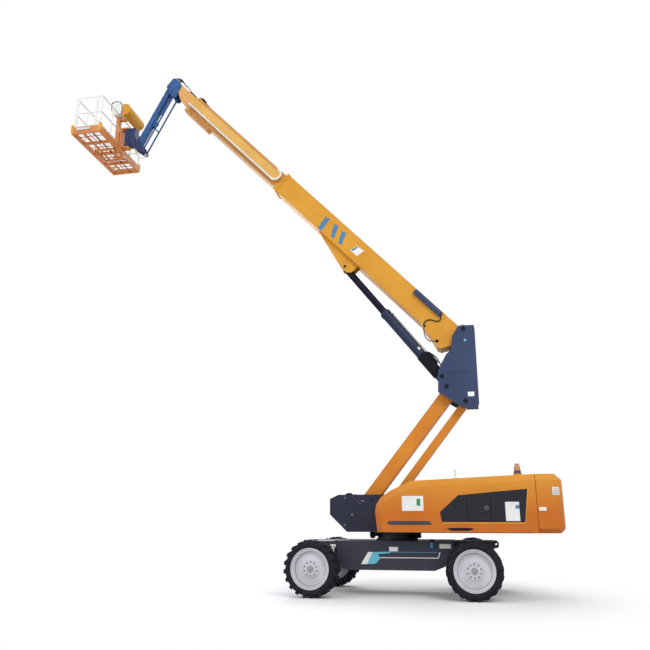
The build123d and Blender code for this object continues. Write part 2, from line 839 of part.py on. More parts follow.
base_tail_shares = [
    # along the boom and up from its pivot, of the base's height
    (1.55, -1.0),
    (1.23, -1.11),
    (0.79, -1.16),
    (0.30, -1.30),
    (0.13, -1.24),
    (-0.08, -0.89),
    (-0.236, -0.364),
    (-0.236, 0.0),
]
base_inner_height = base_height - 2 * boom_wall
base_inner_half = base_half_width - boom_wall
mid_inner_height = mid_height - 2 * boom_wall
mid_inner_half = mid_half_width - boom_wall
with BuildPart() as boom_base:
    tail = [(s * base_height, h * base_height) for s, h in base_tail_shares]
    slab([(base_length, 0), (base_length, -base_height)] + tail, boom_plane, 2 * base_half_width)
    box((base_length - collar_length, base_length), base_height + 2 * collar_wall,
        base_half_width + collar_wall)
    disc(boom_plane, 2 * boom_pin_radius, 2 * boss_reach)
    for hand in (-1, 1):
        heel = lift_pin_along - bracket_heel
        slab(
            [
                (heel, -base_height + boom_wall / 2),
                (lift_pin_along + bracket_run, -base_height + boom_wall / 2),
                (lift_pin_along + bracket_run, -base_height - boom_wall),
                (lift_pin_along + bracket_radius / 2, -lift_pin_drop - bracket_radius * 4 / 5),
                (heel + bracket_radius, -lift_pin_drop - bracket_radius * 4 / 5),
                (heel, -lift_pin_drop),
            ],
            boom_plane.offset(hand * bracket_y),
            bracket_plate,
        )
        lobe = side(boom_pivot_x, boom_pivot_z, boom_angle, y=hand * bracket_y)
        lobe = Plane(origin=spot(lobe, lift_pin_along, -lift_pin_drop), x_dir=lobe.x_dir, z_dir=lobe.z_dir)
        disc(lobe, bracket_radius, bracket_plate)
        disc(lobe.offset(-hand * (bracket_plate + cap_plate) / 2), lift_pin_radius + cap_rim, cap_plate)
    box((cavity_start, base_length - pad_length), base_inner_height, base_inner_half, mode=Mode.SUBTRACT)
    box((cavity_start, base_length + overrun), mid_height + 2 * run_gap, mid_half_width + run_gap,
        mode=Mode.SUBTRACT)
    disc(boom_plane, boom_pin_radius, 2 * boss_reach + overrun, mode=Mode.SUBTRACT)
finish(boom_base.part, "boom_base")

with BuildPart() as cable_box:
    block(boom_plane.offset(-base_half_width - box_depth / 2), (box_rear, box_front),
          (box_top - box_height, box_top), box_depth)
finish(cable_box.part, "cable_box")

with BuildPart() as boom_mid:
    box((mid_rear, mid_front), mid_height, mid_half_width)
    box((mid_rear, mid_rear + pad_length), base_inner_height - 2 * run_gap, base_inner_half - run_gap)
    box((mid_front - collar_length, mid_front), mid_height + 2 * collar_wall, mid_half_width + collar_wall)
    block(boom_plane, (fist_start, fist_end),
          (boom_middle - mid_height / 2 - fist_depth, boom_middle - mid_height / 2 + boom_wall / 2),
          2 * fist_half_width)
    box((mid_rear - overrun, mid_front - pad_length), mid_inner_height, mid_inner_half, mode=Mode.SUBTRACT)
    box((mid_rear, mid_front + overrun), fly_height + 2 * run_gap, fly_half_width + run_gap,
        mode=Mode.SUBTRACT)
finish(boom_mid.part, "boom_mid")

track_inner = base_half_width + collar_wall + side_gap
track_rear = base_length + track_gap
track_bracket_shares = (0.06, 0.5, 0.94)
with BuildPart() as hose_track:
    track_middle = track_top - track_height / 2
    outer_half = track_height / 2
    for inset, mode in ((0, Mode.ADD), (track_wall, Mode.SUBTRACT)):
        reach = track_inner + (track_depth - inset) / 2
        near = boom_plane.offset(-reach)
        tray_end = Plane(origin=spot(near, track_rear + outer_half, track_middle), x_dir=near.x_dir,
                         z_dir=near.z_dir)
        block(near, (track_rear + outer_half, track_front - inset),
              (track_middle - outer_half + inset, track_middle + outer_half - inset), track_depth - inset,
              mode=mode)
        disc(tray_end, outer_half - inset, track_depth - inset, mode=mode)
    for bracket_share in track_bracket_shares:
        along = fist_start + bracket_share * (track_front - fist_start)
        gap = track_inner + track_wall - mid_half_width
        block(boom_plane.offset(-mid_half_width - gap / 2),
              (along - track_bracket / 2, along + track_bracket / 2),
              (track_top - track_height, track_top - track_height + track_bracket), gap)
finish(hose_track.part, "hose_track")

tip = (tip_pin_x - boom_pivot_x, tip_pin_z - boom_pivot_z)
tip_along = tip[0] * cos(radians(boom_angle)) + tip[1] * sin(radians(boom_angle))
tip_up = tip[1] * cos(radians(boom_angle)) - tip[0] * sin(radians(boom_angle))
with BuildPart() as boom_fly:
    box((fly_rear, fly_front), fly_height, fly_half_width)
    box((fly_rear, fly_rear + pad_length), mid_inner_height - 2 * run_gap, mid_inner_half - run_gap)
    box((fly_rear - overrun, fly_front - boom_wall), fly_height - 2 * boom_wall, fly_half_width - boom_wall,
        mode=Mode.SUBTRACT)
    ear_middle = (ear_inner + ear_outer) / 2
    for hand in (-1, 1):
        slab(
            [
                (fly_front - boom_wall / 2, boom_middle + fly_height / 2),
                (tip_along, tip_up + head_end),
                (tip_along, tip_up - head_end),
                (fly_front - boom_wall / 2, boom_middle - fly_height / 2),
            ],
            boom_plane.offset(hand * ear_middle),
            ear_outer - ear_inner,
        )
        disc(side(tip_pin_x, tip_pin_z, y=hand * ear_middle), head_end, ear_outer - ear_inner)
    disc(side(tip_pin_x, tip_pin_z), small_pin_radius, 2 * ear_outer + overrun, mode=Mode.SUBTRACT)
finish(boom_fly.part, "boom_fly")

# Lift cylinder between the upright's foot pin and the bracket under the base section.
lift_pin = spot(boom_plane, lift_pin_along, -lift_pin_drop)
lift_rise = lift_pin.Z - lift_base_z
lift_run = lift_pin.X - slew_x - lift_base_x
lift_lean = degrees(atan2(lift_rise, lift_run))
lift_length = hypot(lift_run, lift_rise)
lift_plane = side(lift_base_x, lift_base_z, lift_lean)
with BuildPart() as lift_barrel:
    tube(spot(lift_plane, lift_pin_radius), spot(lift_plane, barrel_length), barrel_radius)
    tube(spot(lift_plane, barrel_length - gland_length), spot(lift_plane, barrel_length),
         barrel_radius + gland_wall)
    disc(lift_plane, 2 * lift_pin_radius, 2 * barrel_radius)
    disc(lift_plane, lift_pin_radius, 2 * barrel_radius + overrun, mode=Mode.SUBTRACT)
    tube(spot(lift_plane, bore_start), spot(lift_plane, barrel_length + overrun), rod_radius + pin_gap,
         mode=Mode.SUBTRACT)
finish(lift_barrel.part, "lift_barrel")

with BuildPart() as lift_rod:
    tube(spot(lift_plane, rod_start), spot(lift_plane, lift_length), rod_radius)
    disc(side(lift_pin.X - slew_x, lift_pin.Z), lift_eye_radius, 2 * lift_eye_half)
finish(lift_rod.part, "lift_rod")

# Levelled tip bracket, jib and platform head.
tip_shares = [
    # forward and up from the tip pin, of the bracket's height
    (0.16, 0.36),
    (0.28, 0.36),
    (0.36, 0.24),
    (0.507, 0.067),
    (0.493, -0.027),
    (0.40, -0.20),
    (0.293, -0.413),
    (0.187, -0.48),
    (0.08, -0.467),
    (-0.027, -0.133),
    (-0.08, -0.053),
    (-0.087, 0.067),
    (-0.067, 0.147),
    (0.02, 0.20),
]
tip_cross_shares = (0.22, 0.27)
small_eye = small_pin_radius + small_eye_wall
with BuildPart() as tip_bracket:
    tip_outline = [(tip_pin_x + x * tip_height, tip_pin_z + z * tip_height) for x, z in tip_shares]
    for hand in (-1, 1):
        slab(tip_outline, side(0, 0, y=hand * tip_plate_y), tip_plate)
    cross_x, cross_z = (share * tip_height for share in tip_cross_shares)
    block(side(tip_pin_x + cross_x, tip_pin_z + cross_z), (-tip_cross / 2, tip_cross / 2),
          (-tip_cross / 2, tip_cross / 2), 2 * tip_plate_y)
    pivot(side(tip_pin_x, tip_pin_z), small_pin_radius, ear_outer, tip_plate_y, tip_plate)
    pivot(side(jib_pin_x, jib_pin_z), small_pin_radius, jib_half_width, tip_plate_y, tip_plate)
    pivot(side(jib_pin_x + jib_foot_dx, jib_pin_z + jib_foot_dz), small_pin_radius, jib_barrel_radius,
          tip_plate_y, tip_plate)
    disc(side(jib_pin_x + jib_link_dx, jib_pin_z + jib_link_dz), small_pin_radius - pin_gap,
         2 * tip_plate_y + tip_plate)
finish(tip_bracket.part, "tip_bracket")

jib_run = jib_end_x - jib_pin_x
jib_rise = jib_end_z - jib_pin_z
jib_length = hypot(jib_run, jib_rise)
jib_lean = degrees(atan2(jib_rise, jib_run))
jib_plane = side(jib_pin_x, jib_pin_z, jib_lean)
jib_pin_plane = side(jib_end_x, jib_end_z)
with BuildPart() as jib_arm:
    box_arm(jib_plane, jib_length, jib_depth / 2, -jib_depth / 2, jib_half_width, small_pin_radius,
            jib_depth / 2, boom_wall)
    for hand in (-1, 1):
        gusset_y = hand * (jib_eye_half + jib_gusset)
        slab(
            [
                (jib_cyl_end - 2 * small_eye, -jib_depth / 2 + boom_wall / 2),
                (jib_cyl_end + 4 * small_eye, -jib_depth / 2 + boom_wall / 2),
                (jib_cyl_end + small_eye, -jib_cyl_drop - small_eye),
                (jib_cyl_end - small_eye, -jib_cyl_drop - small_eye),
            ],
            jib_plane.offset(gusset_y),
            jib_gusset,
        )
finish(jib_arm.part, "jib_arm")

jib_tie_share = 0.6
with BuildPart() as jib_link:
    for hand in (-1, 1):
        start = (slew_x + jib_pin_x + jib_link_dx, hand * jib_rod_y, jib_pin_z + jib_link_dz)
        end = (slew_x + jib_end_x + jib_link_dx, hand * jib_rod_y, jib_end_z + jib_link_dz)
        tube(start, end, jib_rod_radius)
        for point in (start, end):
            eye = side(point[0] - slew_x, point[2], y=point[1])
            disc(eye, small_eye, jib_rod_radius)
    middle = Vector(start) + (Vector(end) - Vector(start)) * jib_tie_share
    disc(side(middle.X - slew_x, middle.Z), jib_rod_radius * 4 / 5, 2 * jib_rod_y)
    for point in (start, end):
        disc(side(point[0] - slew_x, point[2]), small_pin_radius, 3 * jib_rod_y, mode=Mode.SUBTRACT)
finish(jib_link.part, "jib_link")

jib_foot = side(jib_pin_x + jib_foot_dx, jib_pin_z + jib_foot_dz, jib_lean)
jib_eye_point = spot(jib_plane, jib_cyl_end, -jib_cyl_drop)
jib_reach = (jib_eye_point - jib_foot.origin).dot(jib_foot.x_dir)
with BuildPart() as jib_barrel:
    tube(spot(jib_foot, small_pin_radius), spot(jib_foot, jib_barrel_length), jib_barrel_radius)
    disc(jib_foot, small_eye, 2 * jib_barrel_radius)
    disc(jib_foot, small_pin_radius, 3 * jib_barrel_radius, mode=Mode.SUBTRACT)
    tube(spot(jib_foot, 2 * jib_barrel_radius), spot(jib_foot, jib_barrel_length + overrun),
         jib_rod_end_radius + pin_gap, mode=Mode.SUBTRACT)
finish(jib_barrel.part, "jib_barrel")

with BuildPart() as jib_rod:
    tube(spot(jib_foot, jib_rod_start), spot(jib_foot, jib_reach), jib_rod_end_radius)
    disc(Plane(origin=spot(jib_foot, jib_reach), x_dir=jib_foot.x_dir, z_dir=jib_foot.z_dir),
         jib_rod_end_radius + gland_wall, 2 * jib_eye_half)
finish(jib_rod.part, "jib_rod")

with BuildPart() as jib_head:
    for hand in (-1, 1):
        slab(
            [
                (jib_end_x + jib_link_dx - small_eye, jib_end_z + jib_link_dz - small_eye),
                (jib_end_x + jib_link_dx + small_eye, jib_end_z + jib_link_dz - small_eye),
                (head_plate_front, rotator_bottom),
                (head_plate_front, rotator_top - small_eye),
                (jib_end_x + small_eye, jib_end_z + 2 * small_eye),
                (jib_end_x - small_eye, jib_end_z + small_eye),
                (jib_end_x + jib_link_dx - small_eye, jib_end_z + jib_link_dz + small_eye),
            ],
            side(0, 0, y=hand * tip_plate_y),
            tip_plate,
        )
    head_middle = (rotator_bottom + rotator_top) / 2
    head_height = rotator_top - rotator_bottom
    block(level(head_middle), (neck_rear, rotator_x), (-rotator_neck, rotator_neck), head_height)
    block(level(head_middle), (neck_rear, head_plate_front), (-tip_plate_y, tip_plate_y), head_height / 2)
    disc(level(head_middle, rotator_x), rotator_radius, head_height)
    disc(level(head_middle, rotator_x), rotator_pin_radius, head_height + overrun, mode=Mode.SUBTRACT)
    pivot(jib_pin_plane, small_pin_radius, jib_half_width, tip_plate_y, tip_plate)
    disc(side(jib_end_x + jib_link_dx, jib_end_z + jib_link_dz), small_pin_radius - pin_gap,
         2 * tip_plate_y + tip_plate)
finish(jib_head.part, "jib_head")

# Platform: mount, open floor, rails with a gate at the left end, control console and its cover.
frame_top = floor_bottom + frame_tube_height
mount_top = rotator_top + mount_gap + mount_plate
mount_bottom = rotator_bottom - mount_gap - mount_plate
post_top = mount_top + post_rise
with BuildPart() as platform_mount:
    for z in (mount_top - mount_plate / 2, mount_bottom + mount_plate / 2):
        disc(level(z, rotator_x), rotator_radius, mount_plate)
        block(level(z), (rotator_x, floor_rear), (-rotator_radius, rotator_radius), mount_plate)
    disc(level((mount_top + mount_bottom) / 2, rotator_x), rotator_pin_radius - pin_gap,
         mount_top - mount_bottom - mount_plate)
    block(across(floor_rear - mount_plate / 2), (-mount_half_width, mount_half_width),
          (floor_bottom, mount_top), mount_plate)
    for z in (beam_low, mount_top - beam_height):
        block(level(z + beam_height / 2), (floor_rear - mount_plate / 2, post_rear + mount_plate),
              (-post_half, post_half), beam_height)
    block(level((frame_top + post_top) / 2), (post_rear, post_front), (-post_half, post_half),
          post_top - frame_top)
finish(platform_mount.part, "platform_mount")

floor_beam_shares = (-0.5, 0.0, 0.5)
with BuildPart() as platform_floor:
    block(level((floor_bottom + frame_top) / 2), (floor_rear, floor_front), (-floor_half, floor_half),
          frame_tube_height)
    block(level((floor_bottom + frame_top) / 2),
          (floor_rear + frame_tube_width, floor_front - frame_tube_width),
          (frame_tube_width - floor_half, floor_half - frame_tube_width), 2 * frame_tube_height,
          mode=Mode.SUBTRACT)
    inner_depth = floor_front - floor_rear - frame_tube_width
    inner_width = 2 * floor_half - frame_tube_width
    for beam_share in floor_beam_shares:
        y = beam_share * floor_half
        block(level(floor_bottom + frame_tube_height * 2 / 5), (floor_rear + overrun, floor_front - overrun),
              (y - frame_tube_width / 2, y + frame_tube_width / 2), frame_tube_height * 4 / 5)
    grid_level = level(frame_top - grid_height / 2)
    for row in range(1, grid_across + 1):
        x = floor_rear + frame_tube_width / 2 + inner_depth * row / (grid_across + 1)
        block(grid_level, (x - grid_bar / 2, x + grid_bar / 2), (-inner_width / 2, inner_width / 2),
              grid_height)
    for row in range(1, grid_along + 1):
        y = -inner_width / 2 + inner_width * row / (grid_along + 1)
        block(grid_level, (floor_rear + overrun, floor_front - overrun),
              (y - grid_bar / 2, y + grid_bar / 2), grid_height)
    toe_level = frame_top + toe_height / 2 - toe_wall / 2
    for x in (floor_rear + toe_wall / 2, floor_front - toe_wall / 2):
        block(level(toe_level, x), (-toe_wall / 2, toe_wall / 2), (-floor_half, floor_half),
              toe_height + toe_wall)
    for y in (toe_wall / 2 - floor_half, floor_half - toe_wall / 2):
        block(level(toe_level, 0, y), (floor_rear, floor_front), (-toe_wall / 2, toe_wall / 2),
              toe_height + toe_wall)
finish(platform_floor.part, "platform_floor")

rail_top = frame_top + rail_height - rail_radius
rail_rear = floor_rear + rail_inset
rail_front = floor_front - rail_inset
rail_y = floor_half - rail_inset
gate_hinge_x = floor_front - gate_hinge_inset
gate_end_x = gate_hinge_x - gate_width
gate_post_x = gate_end_x - 2 * rail_radius - cap_plate


def bar(start, end, extra=0.0):
    # One straight piece of rail, its ends given forward of the slew axis, to the left and up.
    tube((slew_x + start[0],) + start[1:], (slew_x + end[0],) + end[1:], rail_radius + extra)


with BuildPart() as platform_rails:
    for z in (rail_top, mid_rail_z):
        bar((rail_front, -rail_y, z), (rail_front, rail_y, z))
        bar((rail_rear, -rail_y, z), (rail_rear, rail_y, z))
        bar((rail_rear, -rail_y, z), (rail_front, -rail_y, z))
        bar((rail_rear, rail_y, z), (gate_post_x, rail_y, z))
    cap_z = rail_top + rail_radius
    for x in (rail_rear, rail_front):
        for row in range(-rail_posts + 1, rail_posts):
            y = rail_y * row / (rail_posts - 1)
            if abs(row) == rail_posts - 1:
                bar((x, y, frame_top), (x, y, cap_z + corner_extra), corner_extra)
            elif row or x == rail_front:
                bar((x, y, frame_top), (x, y, rail_top), -corner_extra)
    bar((gate_post_x, rail_y, frame_top), (gate_post_x, rail_y, cap_z + corner_extra), corner_extra)
    for z in (gate_lug_low, gate_lug_high):
        block(level(z), (gate_hinge_x, rail_front), (rail_y - gate_lug_wall, rail_y + gate_lug_wall),
              gate_lug_height)
        disc(level(z, gate_hinge_x, rail_y), rail_radius + gate_lug_wall, gate_lug_height)
        disc(level(z, gate_hinge_x, rail_y), rail_radius + pin_gap, 2 * gate_lug_height, mode=Mode.SUBTRACT)
finish(platform_rails.part, "platform_rails")

with BuildPart() as platform_gate:
    for x in (gate_hinge_x, gate_end_x):
        bar((x, rail_y, gate_low_z - rail_radius), (x, rail_y, rail_top + rail_radius))
    for z in (gate_low_z, mid_rail_z, rail_top):
        bar((gate_end_x, rail_y, z), (gate_hinge_x, rail_y, z), -corner_extra)
finish(platform_gate.part, "platform_gate")

with BuildPart() as console:
    slab(
        [
            (console_rear, post_top),
            (console_front, post_top),
            (console_front, post_top + console_lip),
            (console_rear, post_top + console_height),
        ],
        side(0, 0),
        2 * console_half_width,
    )
finish(console.part, "console")

cover_z = mount_top + cover_rise
with BuildPart() as console_cover:
    cover_plane = side(cover_x, cover_z)
    disc(cover_plane, cover_radius, 2 * cover_half)
    disc(cover_plane, cover_radius - cover_wall, 2 * (cover_half - cover_wall), mode=Mode.SUBTRACT)
    block(cover_plane, (cover_radius / 3, 2 * cover_radius), (-2 * cover_radius, 2 * cover_radius),
          3 * cover_half, mode=Mode.SUBTRACT)
    for hand in (-1, 1):
        arm_y = hand * (post_half - cover_wall)
        block(side(0, cover_z - overrun, y=arm_y), (cover_x - cover_radius / 3, post_rear),
              (-overrun, overrun / 4), cover_wall)
    block(cover_plane, (-cover_radius / 3, cover_radius / 3), (-cover_radius + cover_wall / 2, -overrun),
          2 * post_half)
finish(console_cover.part, "console_cover")
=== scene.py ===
import bmesh
import bpy
from math import cos, pi, radians, sin
from mathutils import Matrix, Vector


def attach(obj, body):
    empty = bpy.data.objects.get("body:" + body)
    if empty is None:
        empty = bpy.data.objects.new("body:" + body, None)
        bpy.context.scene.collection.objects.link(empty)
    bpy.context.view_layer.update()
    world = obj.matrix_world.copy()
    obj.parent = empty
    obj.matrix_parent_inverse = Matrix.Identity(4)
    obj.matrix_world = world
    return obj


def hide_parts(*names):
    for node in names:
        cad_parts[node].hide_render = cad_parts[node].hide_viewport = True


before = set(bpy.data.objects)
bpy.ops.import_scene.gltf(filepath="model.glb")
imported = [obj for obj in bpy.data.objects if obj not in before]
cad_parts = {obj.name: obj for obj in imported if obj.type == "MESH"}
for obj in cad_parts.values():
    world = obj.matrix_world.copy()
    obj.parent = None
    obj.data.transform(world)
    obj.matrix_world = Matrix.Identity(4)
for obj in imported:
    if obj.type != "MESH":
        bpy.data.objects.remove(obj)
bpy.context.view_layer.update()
slewX = -2.5575  # the slewing axis; places below are measured forward from it
forward, sideways, upward = (1, 0, 0), (0, 1, 0), (0, 0, 1)
scene = bpy.context.scene
print("frame loaded:", len(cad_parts), "nodes")


# shader building: sums on sockets, and one call for any other node
class Flow:
    def __init__(self, finish, socket):
        self.finish, self.socket = finish, socket

    def sum(self, operation, other):
        return self.finish.add("ShaderNodeMath", {"operation": operation}, {0: self, 1: other})

    def __add__(self, other):
        return self.sum("ADD", other)

    def __mul__(self, other):
        return self.sum("MULTIPLY", other)


class Finish:
    def __init__(self, name, slot, colour, roughness, metallic=0.0, coat=0.0, specular=0.25):
        self.material = bpy.data.materials.new(name)
        self.material.use_nodes = True
        self.material.diffuse_color = (*colour, 1)
        self.slot = slot
        self.tree = self.material.node_tree
        self.shader = self.tree.nodes["Principled BSDF"]
        self.shader.inputs["Base Color"].default_value = (*colour, 1)
        self.shader.inputs["Roughness"].default_value = roughness
        self.shader.inputs["Metallic"].default_value = metallic
        self.shader.inputs["Coat Weight"].default_value = coat
        self.shader.inputs["Coat Roughness"].default_value = 0.12
        self.shader.inputs["Specular IOR Level"].default_value = specular
        self.place = self.add("ShaderNodeTexCoord", {}, {}, "Object")

    def add(self, kind, settings, values, output=0):
        node = self.tree.nodes.new(kind)
        for key, value in settings.items():
            if key == "ramp":
                for stop, (at, shade) in zip(node.color_ramp.elements, value):
                    stop.position, stop.color = at, (shade, shade, shade, 1)
            else:
                setattr(node, key, value)
        for key, value in values.items():
            if isinstance(value, Flow):
                self.tree.links.new(value.socket, node.inputs[key])
            else:
                node.inputs[key].default_value = value
        return Flow(self, node.outputs[output])

    def noise(self, scale, detail=3.0, stretch=(1, 1, 1), soft=0.5):
        turned = self.add("ShaderNodeMapping", {}, {"Vector": self.place, "Scale": stretch})
        values = {"Vector": turned, "Scale": scale, "Detail": detail, "Roughness": soft}
        return self.add("ShaderNodeTexNoise", {}, values)

    def ramp(self, flow, low, high):
        return self.add("ShaderNodeValToRGB", {"ramp": [(low, 0), (high, 1)]}, {0: flow})

    def mix(self, share, first, second):
        settings = {"data_type": "RGBA"}
        return self.add("ShaderNodeMix", settings, {0: share, 6: first, 7: second}, 2)

    def between(self, first, last, noise, waver):
        # 0 at the first height and 1 at the last, with a wavering edge
        height = self.add("ShaderNodeSeparateXYZ", {}, {0: self.place}, 2)
        return self.add("ShaderNodeMapRange", {}, {0: height + noise * waver, 1: first, 2: last})

    def feed(self, name, flow):
        self.tree.links.new(flow.socket, self.shader.inputs[name])

    def bump(self, height, strength, distance):
        self.feed("Normal", self.add("ShaderNodeBump", {}, {"Height": height, "Strength": strength,
                                                            "Distance": distance}))


def rgb(red, green, blue):
    # a colour as it is written on screen, turned into the shader's scale
    shades = [c / 255 for c in (red, green, blue)]
    return tuple(((c + 0.055) / 1.055) ** 2.4 if c > 0.04 else c / 12.92 for c in shades)


def paintFinish(name, slot, colour, dusk, roughness=0.42, coat=0.03, dirt=0.35, dustBelow=0.0, paintedTopLight=None):
    # sprayed paint: cloudy tone, run-down grime, fine orange peel, dust towards the ground, and where asked a
    # painted highlight that makes the upper faces paler
    f = Finish(name, slot, colour, roughness, 0.0, coat)
    cloud = f.noise(1.3, 4.0)
    tone = f.mix(f.ramp(cloud, 0.32, 0.72), (*colour, 1), (*dusk, 1))
    if paintedTopLight:
        low, high, pale = paintedTopLight  # upper faces painted paler as a highlight of the light from above: from this height to that one
        tone = f.mix(f.between(low + 0.1, high + 0.1, f.noise(2.0), 0.2), tone, (*pale, 1))
    streak = f.ramp(f.noise(5.0, 6.0, (1.0, 1.0, 0.14), 0.62), 0.56, 0.78)
    tone = f.mix(streak * dirt, tone, (*[c * 0.45 + 0.012 for c in dusk], 1))
    chip = f.ramp(f.noise(34.0, 8.0, (1, 1, 1), 0.75), 0.70, 0.73)
    tone = f.mix(chip * 0.35, tone, (*rgb(88, 84, 80), 1))
    if dustBelow:
        dust = f.between(dustBelow + 0.3, 0.25, f.noise(6.0, 5.0), 0.3)
        tone = f.mix(dust * 0.42, tone, (*rgb(136, 128, 116), 1))
    f.feed("Base Color", tone)
    f.feed("Roughness", f.noise(3.2, 5.0) * 0.16 + streak * 0.14 + (roughness - 0.08))
    f.bump(f.noise(420.0, 2.0), 0.05, 0.0008)
    return f


def rubberFinish(name, slot, colour, dusty):
    f = Finish(name, slot, colour, 0.78, specular=0.14)
    film = f.ramp(f.noise(7.0, 7.0, (1, 1, 1), 0.66), 0.38, 0.80)
    tone = f.mix(film * dusty, (*colour, 1), (*rgb(112, 106, 98), 1))
    f.feed("Base Color", tone)
    f.feed("Roughness", film * 0.12 + 0.68)
    f.bump(f.noise(160.0, 4.0), 0.22, 0.0015)
    return f


def metalFinish(name, slot, colour, roughness, rust=0.0):
    f = Finish(name, slot, colour, roughness, 1.0, specular=0.5)
    grain = f.noise(60.0, 4.0, (1.0, 1.0, 9.0))
    stain = f.ramp(f.noise(9.0, 6.0), 0.52, 0.78)
    f.feed("Base Color", f.mix(stain * rust, (*colour, 1), (*rgb(96, 62, 40), 1)))
    f.feed("Roughness", grain * 0.18 + stain * 0.2 * rust + (roughness - 0.06))
    f.bump(grain, 0.06, 0.0006)
    return f


def plasticFinish(name, slot, colour, roughness=0.5, grainSize=260.0, coat=0.0):
    f = Finish(name, slot, colour, roughness, 0.0, coat)
    haze = f.ramp(f.noise(4.0, 6.0), 0.35, 0.8)
    f.feed("Base Color", f.mix(haze * 0.4, (*colour, 1), (*[c * 0.72 + 0.02 for c in colour], 1)))
    f.feed("Roughness", haze * 0.14 + (roughness - 0.05))
    f.bump(f.noise(grainSize, 3.0), 0.12, 0.0008)
    return f


# copies of one yellow paint, each toned to how its part is lit, as painted light and shade: the riser and
# hood copies darker and more orange, the mid and fly stage copy paler as a painted highlight
boomYellow = paintFinish("boomYellow", "yellow_paint", rgb(222, 160, 52), rgb(212, 146, 42), dirt=0.15)
litStageYellow = paintFinish("litStageYellow", "yellow_paint", rgb(226, 170, 100), rgb(216, 156, 88), dirt=0.15)
yellow = paintFinish("riserYellow", "yellow_paint", rgb(220, 140, 44), rgb(208, 126, 36), dirt=0.2)
# the hood copy has a painted highlight: paler towards its upper faces
hoodYellow = paintFinish("hoodYellow", "yellow_paint", rgb(206, 114, 32), rgb(196, 104, 28), dirt=0.15,
                         paintedTopLight=(1.7, 2.5, rgb(222, 152, 50)))
# a paler copy of the yellow; on the hood lips it is a painted highlight
amberEdge = paintFinish("palerYellow", "yellow_paint", rgb(236, 172, 66), rgb(226, 158, 54), dirt=0.15)
deckYellow = paintFinish("deckYellow", "yellow_paint", rgb(222, 146, 82), rgb(206, 126, 66), dirt=0.2)
grey = paintFinish("upperGreyPaint", "grey_paint", rgb(56, 70, 104), rgb(48, 60, 92), 0.46, 0.05, 0.3)
noseGrey = paintFinish("noseGreyPaint", "grey_paint", rgb(40, 42, 62), rgb(34, 35, 53), 0.48, 0.05, 0.3)
cylinderGrey = paintFinish("cylinderPaint", "grey_paint", rgb(36, 48, 78), rgb(30, 40, 67), 0.46, 0.05, 0.25)
navy = paintFinish("navyPaint", "grey_paint", rgb(42, 56, 100), rgb(34, 46, 84), 0.44, 0.1, 0.25)
underGrey = paintFinish("chassisPaint", "chassis_paint", rgb(60, 61, 75), rgb(50, 51, 64), 0.5, 0.03, 0.4,
                        0.45)
blue = paintFinish("steelBluePaint", "steel_blue_paint", rgb(52, 94, 150), rgb(40, 74, 124), 0.4, 0.08, 0.3)
rimPaint = paintFinish("rimPaint", "rim_paint", rgb(214, 215, 219), rgb(196, 196, 201), 0.42, 0.05, 0.3, 0.35)
railPaint = paintFinish("railPaint", "rail_paint", rgb(244, 243, 240), rgb(236, 235, 229), 0.4, 0.05, 0.1)
rubber = rubberFinish("tyreRubber", "tyre_rubber", rgb(27, 31, 40), 0.13)
hoseRubber = rubberFinish("hoseRubber", "dark_plastic", rgb(20, 22, 31), 0.05)
darkPlastic = plasticFinish("panelPlastic", "dark_plastic", rgb(28, 30, 38), 0.5)
trackCover = paintFinish("trackCover", "hose_cover", rgb(228, 180, 96), rgb(216, 166, 84), 0.45, 0.05, 0.2)
paleStrip = plasticFinish("paleStrip", "hose_cover", rgb(238, 235, 228), 0.45)
# brown for the painted shadow under the hose tray
paintedShadowBrown = plasticFinish("paintedShadowBrown", "hose_cover", rgb(126, 88, 52), 0.55)
blackRod = metalFinish("blackRod", "rod_chrome", rgb(30, 33, 46), 0.34)
chrome = metalFinish("chromeRod", "rod_chrome", rgb(186, 190, 196), 0.14)
steel = metalFinish("boltSteel", "bare_steel", rgb(120, 121, 124), 0.42, 0.5)
nutPlating = plasticFinish("nutPlating", "bare_steel", rgb(158, 158, 162), 0.4)
darkSteel = metalFinish("castSteel", "bare_steel", rgb(62, 62, 66), 0.55, 0.6)
tankPaint = paintFinish("tankPaint", "tank_paint", rgb(70, 72, 76), rgb(58, 60, 64), 0.5, 0.1, 0.4)
lens = plasticFinish("amberLens", "amber_lens", rgb(204, 142, 102), 0.3, 90.0, 0.2)
redLens = plasticFinish("redLens", "amber_lens", rgb(170, 32, 26), 0.18, 90.0, 0.6)
whitePlate = plasticFinish("whitePlate", "rail_paint", rgb(238, 238, 233), 0.4)
greenPlate = plasticFinish("greenPlate", "rail_paint", rgb(64, 140, 88), 0.4)
cyanPlate = plasticFinish("cyanPlate", "rail_paint", rgb(110, 192, 216), 0.4)
stripeBlue = plasticFinish("stripeBlue", "rail_paint", rgb(78, 134, 172), 0.4)
glowPlate = plasticFinish("paleGlass", "rail_paint", rgb(214, 206, 198), 0.2, 300.0, 0.3)
print("finishes made:", len(bpy.data.materials))

